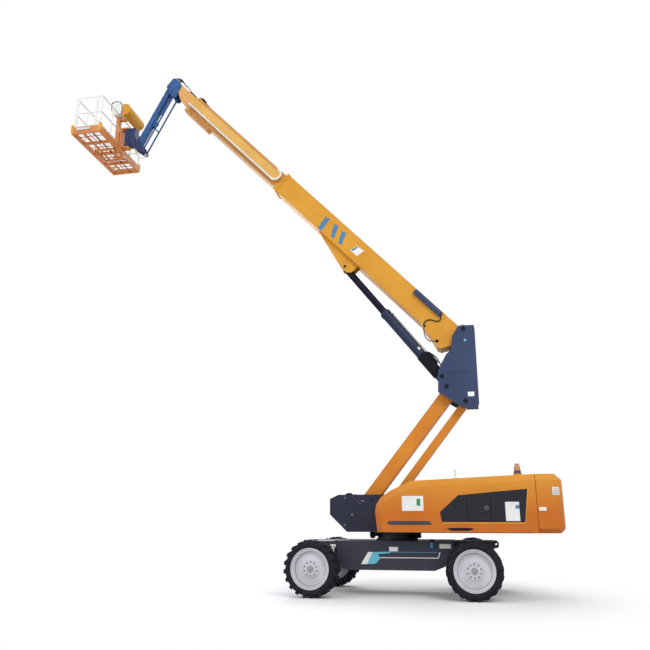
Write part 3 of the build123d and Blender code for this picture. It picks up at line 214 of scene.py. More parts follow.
nodeFinish = (
    (boomYellow, "boom_base console_cover"),
    (litStageYellow, "boom_mid boom_fly"),
    (yellow, "riser_arm riser_link"),
    (hoodYellow, "counterweight hood_left hood_right"),
    (deckYellow, "platform_mount platform_floor"),
    (grey, "upright cable_box console"),
    (noseGrey, "turntable_frame"),
    (cylinderGrey, "lift_barrel"),
    (navy, "jib_head"),
    (underGrey, "chassis_frame front_axle rear_axle steer_knuckle_left steer_knuckle_right"),
    (blue, "tip_bracket jib_arm jib_link jib_barrel"),
    (darkPlastic, "hood_panel_left hood_panel_right access_door"),
    (rimPaint, "rim_front_left rim_front_right rim_rear_left rim_rear_right"),
    (rubber, "tyre_front_left tyre_front_right tyre_rear_left tyre_rear_right"),
    (railPaint, "platform_rails platform_gate"),
    (trackCover, "hose_track"),
    (blackRod, "lift_rod"),
    (chrome, "jib_rod"),
    (darkSteel, "slew_ring engine_block"),
    (tankPaint, "tank"),
    (lens, "beacon"),
)
for finish, names in nodeFinish:
    for name in names.split():
        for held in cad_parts[name].material_slots:
            held.material = finish.material
print("CAD nodes dressed")


# modelling in a frame of the piece's own
def slant(x, z, lean=0.0):
    # along, left and up of a leaning piece, its origin given forward of the slewing axis
    c, s = cos(radians(lean)), sin(radians(lean))
    turn = Matrix(((c, 0, -s), (0, 1, 0), (s, 0, c))).to_4x4()
    return Matrix.Translation((slewX + x, 0, z)) @ turn


def tilt(degrees, axis="Y"):
    return Matrix.Rotation(radians(degrees), 4, axis)


def towards(axis):
    return Vector(axis).to_track_quat("Z", "Y").to_matrix().to_4x4()


class Shape:
    def __init__(self, place):
        self.mesh, self.place = bmesh.new(), place

    def soften(self, verts, bevel):
        if bevel:
            edges = list({e for v in verts for e in v.link_edges if e.calc_face_angle(0) > 0.6})
            self.round(edges, bevel)

    def round(self, edges, bevel):
        bmesh.ops.bevel(self.mesh, geom=edges, offset=bevel, segments=2, profile=0.5, affect="EDGES",
                        material=-1)

    def box(self, centre, size, bevel=0.0, turn=None):
        where = Matrix.Translation(centre) @ (turn or Matrix()) @ Matrix.Diagonal((*size, 1))
        made = bmesh.ops.create_cube(self.mesh, size=1, matrix=where)
        self.soften(made["verts"], bevel)
        return self

    def disc(self, centre, axis, radius, depth, steps=32, bevel=0.0, tip=None):
        where = Matrix.Translation(centre) @ towards(axis)
        made = bmesh.ops.create_cone(self.mesh, cap_ends=True, segments=steps, radius1=radius,
                                     radius2=radius if tip is None else tip, depth=depth, matrix=where)
        if bevel:
            edges = list({e for v in made["verts"] for e in v.link_edges if len(e.link_faces) == 2 and
                          any(len(face.verts) > 4 for face in e.link_faces)})
            self.round(edges, bevel)
        return self

    def plate(self, outline, left, thickness, bevel=0.0):
        # a flat plate given by its outline along and up
        verts = [self.mesh.verts.new((a, left - thickness / 2, u)) for a, u in outline]
        face = self.mesh.faces.new(verts)
        made = bmesh.ops.extrude_face_region(self.mesh, geom=[face])
        moved = [v for v in made["geom"] if isinstance(v, bmesh.types.BMVert)]
        bmesh.ops.translate(self.mesh, verts=moved, vec=(0, thickness, 0))
        self.soften(verts + moved, bevel)
        return self

    def spin(self, profile, steps, centre=(0, 0, 0), axis=sideways):
        # a ring section, given as radius and place along the axis, turned all the way round
        turn = Matrix.Translation(centre) @ towards(axis)
        verts = [self.mesh.verts.new(turn @ Vector((r, 0, a))) for r, a in profile]
        edges = [self.mesh.edges.new((verts[i], verts[i + 1])) for i in range(len(verts) - 1)]
        bmesh.ops.spin(self.mesh, geom=verts + edges, cent=centre, axis=axis, dvec=(0, 0, 0), angle=2 * pi,
                       steps=steps, use_merge=True)
        return self

    def done(self, name, body, finish, sharp=35, replaces=()):
        bmesh.ops.remove_doubles(self.mesh, verts=self.mesh.verts, dist=0.00002)
        bmesh.ops.recalc_face_normals(self.mesh, faces=self.mesh.faces)
        bmesh.ops.transform(self.mesh, matrix=self.place, verts=self.mesh.verts)
        data = bpy.data.meshes.new(name)
        self.mesh.to_mesh(data)
        self.mesh.free()
        data.shade_smooth()
        data.set_sharp_from_angle(angle=radians(sharp))
        return settle(bpy.data.objects.new(name, data), body, finish, replaces)


def settle(piece, body, finish, replaces=()):
    scene.collection.objects.link(piece)
    piece.data.materials.append(finish.material)
    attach(piece, body)
    if replaces:
        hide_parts(*replaces)
    return piece


def hose(name, place, points, radius, body, finish, steps=6):
    # a clamped hose or bent tube through these points
    line = bpy.data.curves.new(name, "CURVE")
    line.dimensions, line.bevel_depth, line.bevel_resolution, line.resolution_u = "3D", radius, 2, steps
    line.use_fill_caps = True
    spline = line.splines.new("NURBS")
    spline.points.add(len(points) - 1)
    for spot, point in zip(spline.points, points):
        spot.co = (*(place @ Vector(point)), 1)
    spline.order_u, spline.use_endpoint_u = 3, True
    holder = bpy.data.objects.new(name + "Line", line)
    data = bpy.data.meshes.new_from_object(holder)
    bpy.data.objects.remove(holder)
    bpy.data.curves.remove(line)
    data.name = name
    data.materials.clear()
    data.shade_smooth()
    return settle(bpy.data.objects.new(name, data), body, finish)


def tag(name, body, finish, place, outline, left, thickness=0.003):
    return Shape(place).plate(outline, left, thickness).done(name, body, finish)


def bolts(shape, spots, left, radius=0.016, height=0.012):
    # hexagon heads on washers, on a side that faces left or right
    out = 1 if left > 0 else -1
    for along, up in spots:
        shape.disc((along, left + out * 0.002, up), sideways, radius * 1.35, 0.005, 20)
        shape.disc((along, left + out * (0.004 + height / 2), up), sideways, radius, height, 6, 0.0015)


def around(x, z, radius, angles):
    return [(x + radius * cos(a), z + radius * sin(a)) for a in angles]


def rect(low, high, bottom, top):
    return [(low, bottom), (high, bottom), (high, top), (low, top)]


ground = slant(0, 0)
boomFrame = slant(-1.73, 5.90, 46.5)

# camera, floor, backdrop and lights
view = {"eye": (-4.1175, 16.05, 1.60), "look": (0.190, -0.9423, 0.2756), "lens": 37.28}
studio = {"sky": (0.93, 0.95, 1.0, 1), "skyPower": 0.69, "floor": 90, "bounce": (0.66, 0.66, 0.66, 1),
          "fade": (3.2, 6.0)}
eye = bpy.data.cameras.new("viewCamera")
eye.lens, eye.sensor_width, eye.clip_end = view["lens"], 36, 200
camera = bpy.data.objects.new("viewCamera", eye)
camera.location = view["eye"]
camera.rotation_euler = Vector(view["look"]).to_track_quat("-Z", "Y").to_euler()
scene.collection.objects.link(camera)
scene.camera = camera

lamps = {
    # name: place, aimed at, size, power
    "keyLamp": ((-16, 24, 22), (-1, 0, 5), 16, 3700),
    "fillLamp": ((18, 18, 12), (0, 0, 6), 16, 1600),
    "backLamp": ((4, -20, 18), (0, 0, 5), 16, 2200),
}
for name, (place, aim, size, power) in lamps.items():
    lamp = bpy.data.lights.new(name, "AREA")
    lamp.size, lamp.energy = size, power
    holder = bpy.data.objects.new(name, lamp)
    holder.location = place
    holder.rotation_euler = (Vector(aim) - Vector(place)).to_track_quat("-Z", "Y").to_euler()
    scene.collection.objects.link(holder)

scene.view_settings.view_transform = "Standard"
world = scene.world or bpy.data.worlds.new("studio")
scene.world = world
world.use_nodes = True
sky = world.node_tree
sky.nodes.clear()
seen, either, third, plain, soft, both, shown = (
    sky.nodes.new("ShaderNode" + kind) for kind in ("LightPath", "Math", "Math", "Background", "Background",
                                                    "MixShader", "OutputWorld"))
either.operation = third.operation = "MAXIMUM"
plain.inputs[0].default_value, plain.inputs[1].default_value = (1, 1, 1, 1), 1.0
soft.inputs[0].default_value, soft.inputs[1].default_value = studio["sky"], studio["skyPower"]
skyLinks = (
    (seen.outputs["Is Camera Ray"], either.inputs[0]), (seen.outputs["Is Glossy Ray"], either.inputs[1]),
    (seen.outputs["Is Transmission Ray"], third.inputs[1]), (either.outputs[0], third.inputs[0]),
    (third.outputs[0], both.inputs[0]), (soft.outputs[0], both.inputs[1]),
    (plain.outputs[0], both.inputs[2]), (both.outputs[0], shown.inputs[0]))
for source, target in skyLinks:
    sky.links.new(source, target)

floorMesh = bmesh.new()
bmesh.ops.create_grid(floorMesh, x_segments=1, y_segments=1, size=studio["floor"])
floorData = bpy.data.meshes.new("floor")
floorMesh.to_mesh(floorData)
floorMesh.free()
floor = bpy.data.objects.new("floor", floorData)
floor.location = (slewX, 0, -0.001)
scene.collection.objects.link(floor)
paleFloor = bpy.data.materials.new("paleFloor")
paleFloor.use_nodes = True
# seen by the camera, the floor fades to plain white away from the machine and keeps its shadow near it
floorTree = paleFloor.node_tree
floorShader = floorTree.nodes["Principled BSDF"]
floorShader.inputs["Roughness"].default_value = 0.9
floorSpot, floorFar, floorFade, floorRay, floorShare, floorGlow, floorMix, floorTone = (
    floorTree.nodes.new("ShaderNode" + kind) for kind in ("TexCoord", "VectorMath", "MapRange", "LightPath",
                                                          "Math", "Emission", "MixShader", "Mix"))
floorFar.operation, floorShare.operation, floorFade.interpolation_type = "LENGTH", "MULTIPLY", "SMOOTHSTEP"
floorFade.inputs[1].default_value, floorFade.inputs[2].default_value = studio["fade"]
floorGlow.inputs[0].default_value = (1, 1, 1, 1)
floorTone.data_type = "RGBA"  # paler to the camera than for the light it throws back
floorTone.inputs[6].default_value, floorTone.inputs[7].default_value = studio["bounce"], (1, 1, 1, 1)
byCamera = floorRay.outputs["Is Camera Ray"]
floorLinks = (
    (byCamera, floorTone.inputs[0]), (floorTone.outputs[2], floorShader.inputs["Base Color"]),
    (floorSpot.outputs["Object"], floorFar.inputs[0]), (floorFar.outputs["Value"], floorFade.inputs[0]),
    (floorFade.outputs[0], floorShare.inputs[0]), (byCamera, floorShare.inputs[1]),
    (floorShare.outputs[0], floorMix.inputs[0]), (floorShader.outputs[0], floorMix.inputs[1]),
    (floorGlow.outputs[0], floorMix.inputs[2]),
    (floorMix.outputs[0], floorTree.nodes["Material Output"].inputs[0]))
for source, target in floorLinks:
    floorTree.links.new(source, target)
floorData.materials.append(paleFloor)
print("camera, lamps and floor set")

# wheels
wheel = {"tyreRadius": 0.575, "base": 3.34, "kingPin": 0.9, "offset": 0.3775, "steer": -4.0,
         "lugs": 20, "lugRow": 0.105, "lugRadius": 0.553, "lug": (0.078, 0.212, 0.044), "lugTurn": -14,
         "shoulder": (0.066, 0.030, 0.062), "shoulderPlace": (0.016, 0.092, 0.520), "shoulderTurn": 38,
         "nuts": 10, "nutRing": 0.138}
for name, axle, hand, steer in (("front_left", 1, 1, wheel["steer"]), ("front_right", 1, -1, wheel["steer"]),
                                ("rear_left", -1, 1, 0.0), ("rear_right", -1, -1, 0.0)):
    aim = Vector((-sin(radians(steer)) * hand, cos(radians(steer)) * hand, 0))
    middle = Vector((slewX + axle * wheel["base"] / 2, wheel["kingPin"] * hand, wheel["tyreRadius"]))
    middle += aim * wheel["offset"]
    rise = Vector(upward)
    turn = Matrix((aim.cross(rise), aim, rise)).transposed().to_4x4()
    hub = Matrix.Translation(middle) @ turn

    tyre = Shape(hub)
    side = [(0.402, -0.150), (0.424, -0.186), (0.436, -0.196), (0.462, -0.206), (0.470, -0.212),
            (0.478, -0.207), (0.506, -0.205), (0.526, -0.196), (0.541, -0.176), (0.546, -0.14)]
    tyre.spin(side + [(0.548, 0.0)] + [(r, -a) for r, a in reversed(side)] + [side[0]], 120)
    for row in (-1, 1):
        for k in range(wheel["lugs"]):
            angle = 2 * pi * (k + 0.25 * row) / wheel["lugs"]
            spot = Matrix.Rotation(angle, 4, "Y") @ Matrix.Translation((0, row * wheel["lugRow"], 0))
            bar = spot @ Matrix.Translation((0, 0, wheel["lugRadius"])) @ tilt(wheel["lugTurn"] * row, "Z")
            tyre.box(bar.to_translation(), wheel["lug"], 0.008, bar.to_3x3().to_4x4())
            x, y, z = wheel["shoulderPlace"]
            edge = spot @ Matrix.Translation((x, y * row, z)) @ tilt(wheel["shoulderTurn"] * row, "X")
            tyre.box(edge.to_translation(), wheel["shoulder"], 0.007, edge.to_3x3().to_4x4())
    tyre.done("tyre_" + name, "wheel_" + name, rubber, 30, ["tyre_" + name])

    rim = Shape(hub)
    rim.spin([(0.0, 0.135), (0.060, 0.135), (0.066, 0.150), (0.072, 0.150), (0.078, 0.132), (0.118, 0.128),
              (0.176, 0.128), (0.186, 0.120), (0.196, 0.104), (0.270, 0.086), (0.316, 0.082), (0.330, 0.088),
              (0.342, 0.110), (0.352, 0.148), (0.360, 0.168), (0.384, 0.176), (0.394, 0.190), (0.402, 0.205),
              (0.414, 0.211), (0.419, 0.204), (0.416, 0.196), (0.402, 0.186), (0.399, 0.150), (0.399, -0.195),
              (0.384, -0.195), (0.340, 0.060), (0.30, 0.067), (0.0, 0.081)], 96)
    rim.done("rim_" + name, "wheel_" + name, rimPaint, 30, ["rim_" + name])

    nuts = Shape(hub)
    for k in range(wheel["nuts"]):
        a = 2 * pi * (k + 0.5) / wheel["nuts"]
        x, z = wheel["nutRing"] * cos(a), wheel["nutRing"] * sin(a)
        nuts.disc((x, 0.130, z), sideways, 0.021, 0.008, 20)
        nuts.disc((x, 0.144, z), sideways, 0.0165, 0.024, 6, 0.0015)
        nuts.disc((x, 0.160, z), sideways, 0.009, 0.012, 12)
    nuts.disc((0, 0.155, 0), sideways, 0.052, 0.034, 40, 0.006)
    nuts.done("nuts_" + name, "wheel_" + name, nutPlating)
    # a dark ring where the rim steps in to its barrel: painted shade
    shade = Shape(hub)
    shade.spin([(0.338, 0.101), (0.343, 0.118), (0.347, 0.118), (0.343, 0.101), (0.338, 0.101)], 96)
    shade.done("rim_painted_shade_" + name, "wheel_" + name, darkPlastic)
print("wheels made")

# chassis: markings, plates, ring flange and hoses
chassis = {"side": 0.7505, "beam": 0.4305, "flange": (0.40, 0.474, 1.1205, 1.144), "bolts": 40, "ring": 0.457}
tag("chassis_swoosh_white", "chassis", whitePlate, ground,
    [(0.73, 0.64), (0.57, 0.89), (0.47, 0.89), (0.60, 0.64)], chassis["side"])
tag("chassis_swoosh_cyan", "chassis", cyanPlate, ground,
    [(0.60, 0.64), (0.47, 0.89), (0.08, 0.902), (0.08, 0.872), (0.37, 0.846), (0.30, 0.77), (0.40, 0.655)],
    chassis["side"])
tag("chassis_stripe_blue", "chassis", stripeBlue, ground, rect(-0.95, 0.08, 0.884, 0.900), chassis["side"])
tag("chassis_stripe_white", "chassis", whitePlate, ground,
    [(0.30, 0.770), (0.30, 0.786), (-0.925, 0.786), (-0.965, 0.900), (-0.985, 0.900), (-0.94, 0.770)],
    chassis["side"])
tag("chassis_label", "chassis", whitePlate, ground, rect(-0.08, 0.11, 0.908, 1.0), chassis["side"])
tag("chassis_rear_plate", "chassis", whitePlate, ground, rect(-1.21, -0.97, 0.975, 1.065), chassis["side"])
tag("chassis_front_plate", "chassis", whitePlate, ground, rect(1.34, 1.47, 0.936, 1.036), chassis["beam"])
deck = Shape(ground).box((1.66, 0.431, 1.110), (0.60, 0.006, 0.016), 0.002)
deck.done("chassis_deck_edge", "chassis", whitePlate)
flange = Shape(ground)
inner, outer, low, high = chassis["flange"]
flange.spin([(inner, low), (outer, low), (outer, high - 0.004), (outer - 0.004, high), (inner, high),
             (inner, low)], 120, axis=upward)
for k in range(chassis["bolts"]):
    a = 2 * pi * k / chassis["bolts"]
    spot = (chassis["ring"] * cos(a), chassis["ring"] * sin(a))
    flange.disc((*spot, high + 0.007), upward, 0.0105, 0.014, 6, 0.001)
flange.done("slew_flange", "chassis", darkSteel)
breather = Shape(ground)
breather.disc((-0.81, 0.792, 1.045), upward, 0.040, 0.12, 32, 0.008)
breather.box((-0.81, 0.765, 1.045), (0.05, 0.03, 0.05), 0.004)
breather.done("chassis_filter", "chassis", stripeBlue)
cap = Shape(ground)
cap.disc((-0.81, 0.792, 1.130), upward, 0.050, 0.05, 32, 0.012)
cap.disc((-0.81, 0.792, 1.158), upward, 0.020, 0.014, 16, 0.003)
cap.done("chassis_filter_cap", "chassis", hoseRubber)
for name, hand in (("left", 1), ("right", -1)):
    for row, (shift, drop) in enumerate(((0.0, 0.0), (0.05, 0.03))):
        hose("steer_hose_%s_%d" % (name, row), ground,
             [(1.44 - shift, 0.44 * hand, 0.98 - drop), (1.40 - shift, 0.56 * hand, 1.02 - drop),
              (1.33 - shift, 0.66 * hand, 0.92), (1.40 - shift, 0.70 * hand, 0.78),
              (1.52, 0.66 * hand, 0.70)],
             0.011, "chassis", whitePlate if hand > 0 and row == 0 else hoseRubber)
        hose("drive_hose_%s_%d" % (name, row), ground,
             [(-1.36 - shift, 0.44 * hand, 0.96 - drop), (-1.40 - shift, 0.58 * hand, 1.0 - drop),
              (-1.46 - shift, 0.70 * hand, 0.88), (-1.50, 0.76 * hand, 0.74)], 0.012, "chassis", hoseRubber)
    lugs = Shape(ground)
    for end in (2.05, -2.13):
        side = 1 if end > 0 else -1
        for out in (0.014, -0.019):
            ring = [(0.028, out), (0.044, out), (0.044, out + 0.005), (0.028, out + 0.005), (0.028, out)]
            lugs.spin(ring, 32, (end + side * 0.0475, 0.215 * hand, 1.045))
    lugs.done("tie_down_rings_" + name, "chassis", underGrey)
axleBolts = Shape(ground)
for axle in (1.67, -1.67):
    for hand in (1, -1):
        places = [(axle + dx, 0.50 + dz) for dx in (-0.085, 0.085) for dz in (0.0, 0.15)]
        bolts(axleBolts, places, 0.56 * hand, 0.015, 0.014)
axleBolts.done("axle_bolts", "chassis", steel)
print("chassis dressed")

# turntable: motor, nose, hood trim and counterweight
nose = {"side": 0.457, "pins": ((0.78, 1.95), (0.37, 1.59)), "capSide": 0.469,
        "bolts": ((1.12, 2.04), (1.125, 1.45), (0.96, 1.67), (0.71, 1.97)),
        "holes": ((0.50, 1.99), (0.25, 2.01))}
motor = Shape(ground)
motor.disc((0.53, 0.22, 1.240), upward, 0.066, 0.110, 40, 0.016)
motor.disc((0.53, 0.22, 1.175), upward, 0.045, 0.03, 32, 0.006)
motor.box((0.48, 0.20, 1.250), (0.19, 0.20, 0.085), 0.02)
motor.box((-0.47, 0.20, 1.230), (0.16, 0.30, 0.12), 0.02)  # gear housing behind the ring
motor.done("slew_motor", "turntable", hoseRubber)
trim = Shape(ground)
for hand in (1, -1):
    bolts(trim, nose["bolts"], nose["side"] * hand, 0.018)
    for x, z in nose["pins"]:
        bolts(trim, around(x, z, 0.045, (0.5, 2.6, 4.7)), nose["capSide"] * hand, 0.010, 0.008)
trim.done("nose_bolts", "turntable", steel)
holes = Shape(ground)
# the dark discs on the nose holes are painted shade inside the holes
for hand in (1, -1):
    for x, z in nose["holes"]:
        holes.disc((x, nose["side"] * hand, z), sideways, 0.034, 0.002, 32)
    holes.plate([(0.93, 2.108), (0.98, 2.147), (1.07, 2.147), (1.12, 2.108)], 0.445 * hand, 0.022, 0.003)
holes.done("nose_holes", "turntable", hoseRubber)
rimStrip = Shape(ground)
for hand in (1, -1):
    edge = [(1.08, 1.30), (1.47, 1.675), (1.47, 2.02), (1.27, 2.11)]
    for (x0, z0), (x1, z1) in zip(edge, edge[1:]):
        run = Vector((x1 - x0, 0, z1 - z0))
        aim, out = run.normalized(), Vector((-run.z, 0, run.x)).normalized()
        middle = Vector(((x0 + x1) / 2, 0.4585 * hand, (z0 + z1) / 2)) + out * 0.012
        turn = Matrix((aim, Vector(sideways), aim.cross(Vector(sideways)))).transposed().to_4x4()
        rimStrip.box(middle, (run.length, 0.005, 0.018), 0.001, turn)
rimStrip.done("nose_edges", "turntable", noseGrey)

hood = {"side": 1.2505, "panel": 1.2575, "lipZ": 1.498}
tag("hood_sticker", "left_hood", whitePlate, ground, rect(-0.69, -0.24, 1.745, 2.05), hood["side"])
tag("hood_sticker_patch", "left_hood", greenPlate, ground, rect(-0.625, -0.55, 1.85, 1.99),
    hood["side"] + 0.003)
tag("hood_strip", "left_hood", tankPaint, ground,
    [(0.09, 1.50), (0.05, 1.46), (-0.86, 1.46), (-0.80, 1.54), (0.05, 1.54)], hood["side"])
# a dark plate on the hood side: painted shade of the recess under the hood
tag("hood_notch", "left_hood", hoseRubber, ground,
    [(-1.14, 1.384), (-1.24, 1.40), (-1.62, 1.40), (-1.72, 1.384), (-1.60, 1.345), (-1.26, 1.345)],
    hood["side"])
arch = Shape(ground)
arch.plate([(-1.06, 1.36), (-1.18, 1.418), (-1.68, 1.418), (-1.80, 1.36), (-1.76, 1.36), (-1.66, 1.404),
            (-1.20, 1.404), (-1.10, 1.36)], 1.2535, 0.009, 0.003)
arch.done("hood_notch_rim", "left_hood", hoodYellow)
for name, hand in (("left", 1), ("right", -1)):
    # real lips round the hood panel, painted paler as a highlight
    lip = Shape(ground)
    lip.box((-1.905, 1.2555 * hand, hood["lipZ"]), (1.68, 0.013, 0.020), 0.005)
    lip.box((-2.79, 1.2535 * hand, 1.85), (0.016, 0.009, 0.68), 0.003, tilt(-7.8))
    lip.done("hood_lip_highlight_" + name, name + "_hood", amberEdge)
    seal = Shape(ground).box((-1.30, 1.2475 * hand, 1.306), (3.18, 0.013, 0.012), 0.004)
    seal.done("hood_seal_" + name, name + "_hood", hoseRubber)
tag("panel_label", "left_hood", whitePlate, ground, rect(-2.64, -2.36, 1.54, 1.92), hood["panel"])
tag("panel_patch", "left_hood", stripeBlue, ground, rect(-2.642, -2.565, 1.785, 1.855), hood["panel"] + 0.003)
post = Shape(ground)
for z, r, tall, soft in ((2.50, 0.020, 0.18, 0.004), (2.425, 0.040, 0.03, 0.006),
                         (2.590, 0.028, 0.03, 0.010)):
    post.disc((-1.38, 1.0, z), upward, r, tall, 24, soft)
post.done("hood_post", "left_hood", whitePlate)
beacon = {"place": (-2.675, 0.98), "ribs": 20, "ribRing": 0.0635}
beaconTrim = Shape(ground)
beaconTrim.spin([(0.060, 2.496), (0.082, 2.496), (0.082, 2.512), (0.074, 2.520), (0.074, 2.556),
                 (0.070, 2.562), (0.060, 2.562)], 64, (*beacon["place"], 0), upward)
beaconTrim.spin([(0.040, 2.694), (0.048, 2.694), (0.044, 2.706), (0.0, 2.710)], 64,
                (*beacon["place"], 0), upward)
beaconTrim.done("beacon_base", "left_hood", tankPaint)
ribs = Shape(ground)
for k in range(beacon["ribs"]):
    a = 2 * pi * k / beacon["ribs"]
    spot = around(*beacon["place"], beacon["ribRing"], [a])[0]
    ribs.box((*spot, 2.60), (0.006, 0.006, 0.075), 0.0015, Matrix.Rotation(a, 4, "Z"))
ribs.done("beacon_ribs", "left_hood", lens)
door = Shape(ground)
door.spin([(0.030, 0.0), (0.044, 0.0), (0.044, 0.006), (0.036, 0.010), (0.030, 0.006), (0.030, 0.0)], 48,
          (-1.985, 1.269, 1.7925), sideways)
door.box((-1.985, 1.274, 1.7925), (0.014, 0.010, 0.052), 0.003)
door.disc((-1.985, 1.272, 1.835), sideways, 0.008, 0.008, 20, 0.002)
door.done("door_handle", "left_door", steel)
doorEdge = Shape(ground)
for z in (1.575, 2.010):
    doorEdge.box((-1.83, 1.2572, z), (0.44, 0.004, 0.010), 0.0015)
for x in (-1.615, -2.045):
    doorEdge.box((x, 1.2572, 1.7925), (0.010, 0.004, 0.445), 0.0015)
doorEdge.done("door_bead", "left_door", noseGrey)

weight = {"side": 1.2505, "corner": (-3.285, 0.99), "radius": 0.26}
tag("weight_label", "turntable", whitePlate, ground, rect(-3.175, -3.03, 1.745, 1.815), weight["side"])
for name, hand in (("left", 1), ("right", -1)):
    lamp = Shape(ground)
    a = radians(22.6) * hand
    aim = Vector((-sin(abs(a)), cos(a) * hand, 0))
    spot = Vector((weight["corner"][0], weight["corner"][1] * hand, 2.13)) + aim * (weight["radius"] + 0.002)
    turn = Matrix.Rotation(a, 4, "Z")
    lamp.box(spot, (0.155, 0.016, 0.165), 0.006, turn)
    lamp.done("rear_lamp_frame_" + name, "turntable", whitePlate)
    glass = Shape(ground).box(spot + aim * 0.009, (0.125, 0.014, 0.135), 0.005, turn)
    glass.done("rear_lamp_" + name, "turntable", glowPlate)
print("turntable dressed")

# under the hoods: engine and tank
engine = Shape(ground)
engine.box((-2.10, -0.80, 2.135), (0.72, 0.26, 0.08), 0.02)
engine.box((-2.10, -1.165, 1.72), (0.60, 0.03, 0.34), 0.01)
for k in range(4):
    engine.disc((-1.86 - 0.16 * k, -0.80, 2.182), upward, 0.03, 0.03, 24, 0.006)
    engine.disc((-1.86 - 0.16 * k, -1.18, 1.96), sideways, 0.032, 0.06, 24, 0.006)
engine.box((-2.10, -1.16, 1.96), (0.66, 0.05, 0.09), 0.015)
engine.done("engine_covers", "turntable", steel)
filters = Shape(ground)
filters.disc((-1.76, -0.86, 2.16), forward, 0.085, 0.26, 40, 0.015)
for x in (-2.44, -2.32):
    filters.disc((x, -1.17, 1.62), upward, 0.045, 0.20, 32, 0.010)
filters.done("engine_filters", "turntable", hoseRubber)
belt = Shape(ground)
for x, z, r in ((0, 1.62, 0.11), (0, 1.86, 0.07), (0, 2.02, 0.05)):
    belt.spin([(0.0, 0.0), (r, 0.0), (r, 0.01), (r - 0.012, 0.02), (r, 0.03), (r, 0.04), (0.0, 0.04)], 48,
              (-1.598, -0.80, z), forward)
belt.done("engine_pulleys", "turntable", darkSteel)
hose("engine_air_pipe", ground,
     [(-1.90, -0.86, 2.17), (-2.02, -1.0, 2.22), (-2.30, -1.05, 2.20), (-2.44, -1.0, 2.08)],
     0.035, "turntable", hoseRubber, 10)
tankTrim = Shape(ground)
for x in (-1.60, -2.10):
    tankTrim.box((x, 0.84, 2.003), (0.05, 0.575, 0.006), 0.001)
    tankTrim.box((x, 1.123, 1.71), (0.05, 0.006, 0.59), 0.001)
for x in (-1.45, -2.25):
    tankTrim.disc((x, 0.90, 2.02), upward, 0.050, 0.05, 40, 0.008)
tankTrim.box((-1.85, 1.125, 1.72), (0.035, 0.012, 0.30), 0.003)
tankTrim.done("tank_straps", "turntable", steel)
for row in range(3):
    hose("tank_hose_%d" % row, ground,
         [(-1.70 - 0.1 * row, 0.80, 2.0), (-1.70 - 0.1 * row, 0.80, 2.10), (-1.50 - 0.1 * row, 0.62, 2.14),
          (-1.30, 0.58, 1.90 - 0.05 * row), (-1.22, 0.56, 1.42)], 0.014, "turntable", hoseRubber)
print("engine and tank dressed")

# upright
upright = {"side": 0.4005, "capSide": 0.4125,
           "bolts": ((-1.19, 4.78), (-1.2805, 4.54), (-1.69, 4.18), (-1.73, 5.90)), "sticker": (-1.76, 5.62)}
pins = Shape(ground)
for hand in (1, -1):
    for x, z in upright["bolts"]:
        pins.disc((x, upright["capSide"] * hand, z), sideways, 0.050, 0.006, 40, 0.002)
pins.done("upright_pin_covers", "upright_frame", hoseRubber)
x, z = upright["sticker"]
spot = Shape(ground).disc((x, upright["side"], z), sideways, 0.030, 0.003, 32)
spot.done("upright_sticker", "upright_frame", cyanPlate)
seam = Shape(ground).box((-1.52, upright["side"] + 0.001, 4.86), (0.66, 0.005, 0.010), 0.002)
seam.done("upright_seams", "upright_frame", cylinderGrey)
for row in range(4):
    y = -0.20 + 0.05 * row
    hose("upright_hose_%d" % row, ground,
         [(-1.90, y, 4.50), (-1.925, y, 4.90), (-1.93, y, 5.40), (-1.94, y, 5.72), (-1.90, y, 5.90)], 0.013,
         "upright_frame", hoseRubber)
clips = Shape(ground)
for z in (4.75, 5.15, 5.55):
    clips.box((-1.945, -0.125, z), (0.03, 0.24, 0.03), 0.005)
clips.done("upright_hose_clips", "upright_frame", steel)

# riser: edge welds
riserFrame = slant(-1.2805, 4.5404, 128.5 - 180)
riser = {"half": 0.17, "high": 0.055, "low": -0.255}
weld = Shape(riserFrame)
for hand in (1, -1):
    for h in (riser["high"] - 0.010, riser["low"] + 0.010):
        weld.box((1.655, (riser["half"] + 0.001) * hand, h), (3.10, 0.005, 0.006), 0.001)
weld.done("riser_welds", "riser", yellow)

# boom: markings, wire, cable box lid, welds, bolts and the gear on top
boom = {"side": 0.2505, "boxSide": 0.3305}
for k, outline in enumerate((
        [(4.67, -0.19), (4.53, -0.14), (4.46, -0.52), (4.585, -0.535)],
        [(4.35, -0.17), (4.22, -0.13), (4.05, -0.45), (4.16, -0.47)],
        [(4.05, -0.17), (3.92, -0.13), (3.775, -0.45), (3.885, -0.47)])):
    tag("boom_stripe_%d" % k, "boom_first", stripeBlue, boomFrame, outline, boom["side"])
tag("boom_diamond", "boom_first", whitePlate, boomFrame,
    [(3.51, -0.395), (3.46, -0.20), (3.225, -0.17), (3.26, -0.39)], boom["side"])
tag("boom_diamond_bar", "boom_first", stripeBlue, boomFrame,
    [(3.495, -0.37), (3.45, -0.215), (3.405, -0.21), (3.44, -0.38)], boom["side"] + 0.003, 0.002)
hose("boom_wire", boomFrame,
     [(0.66, 0.286, -0.085), (0.55, 0.285, -0.16), (0.58, 0.28, -0.27), (0.76, 0.272, -0.34),
      (0.82, 0.268, -0.48), (0.70, 0.265, -0.62), (0.50, 0.262, -0.76), (0.34, 0.256, -0.72),
      (0.29, 0.25, -0.64)],
     0.012, "boom_first", hoseRubber, 12)
spots = Shape(boomFrame)
for s, side, h, r in ((0.261, boom["side"], -0.611, 0.042), (0.07, boom["side"], -0.26, 0.030),
                      (0.73, boom["side"], -0.54, 0.026), (3.33, 0.168, -0.78, 0.034)):
    for hand in (1, -1):
        spots.disc((s, side * hand, h), sideways, r, 0.006, 32, 0.002)
spots.done("boom_dark_caps", "boom_first", hoseRubber)
ring = Shape(boomFrame)
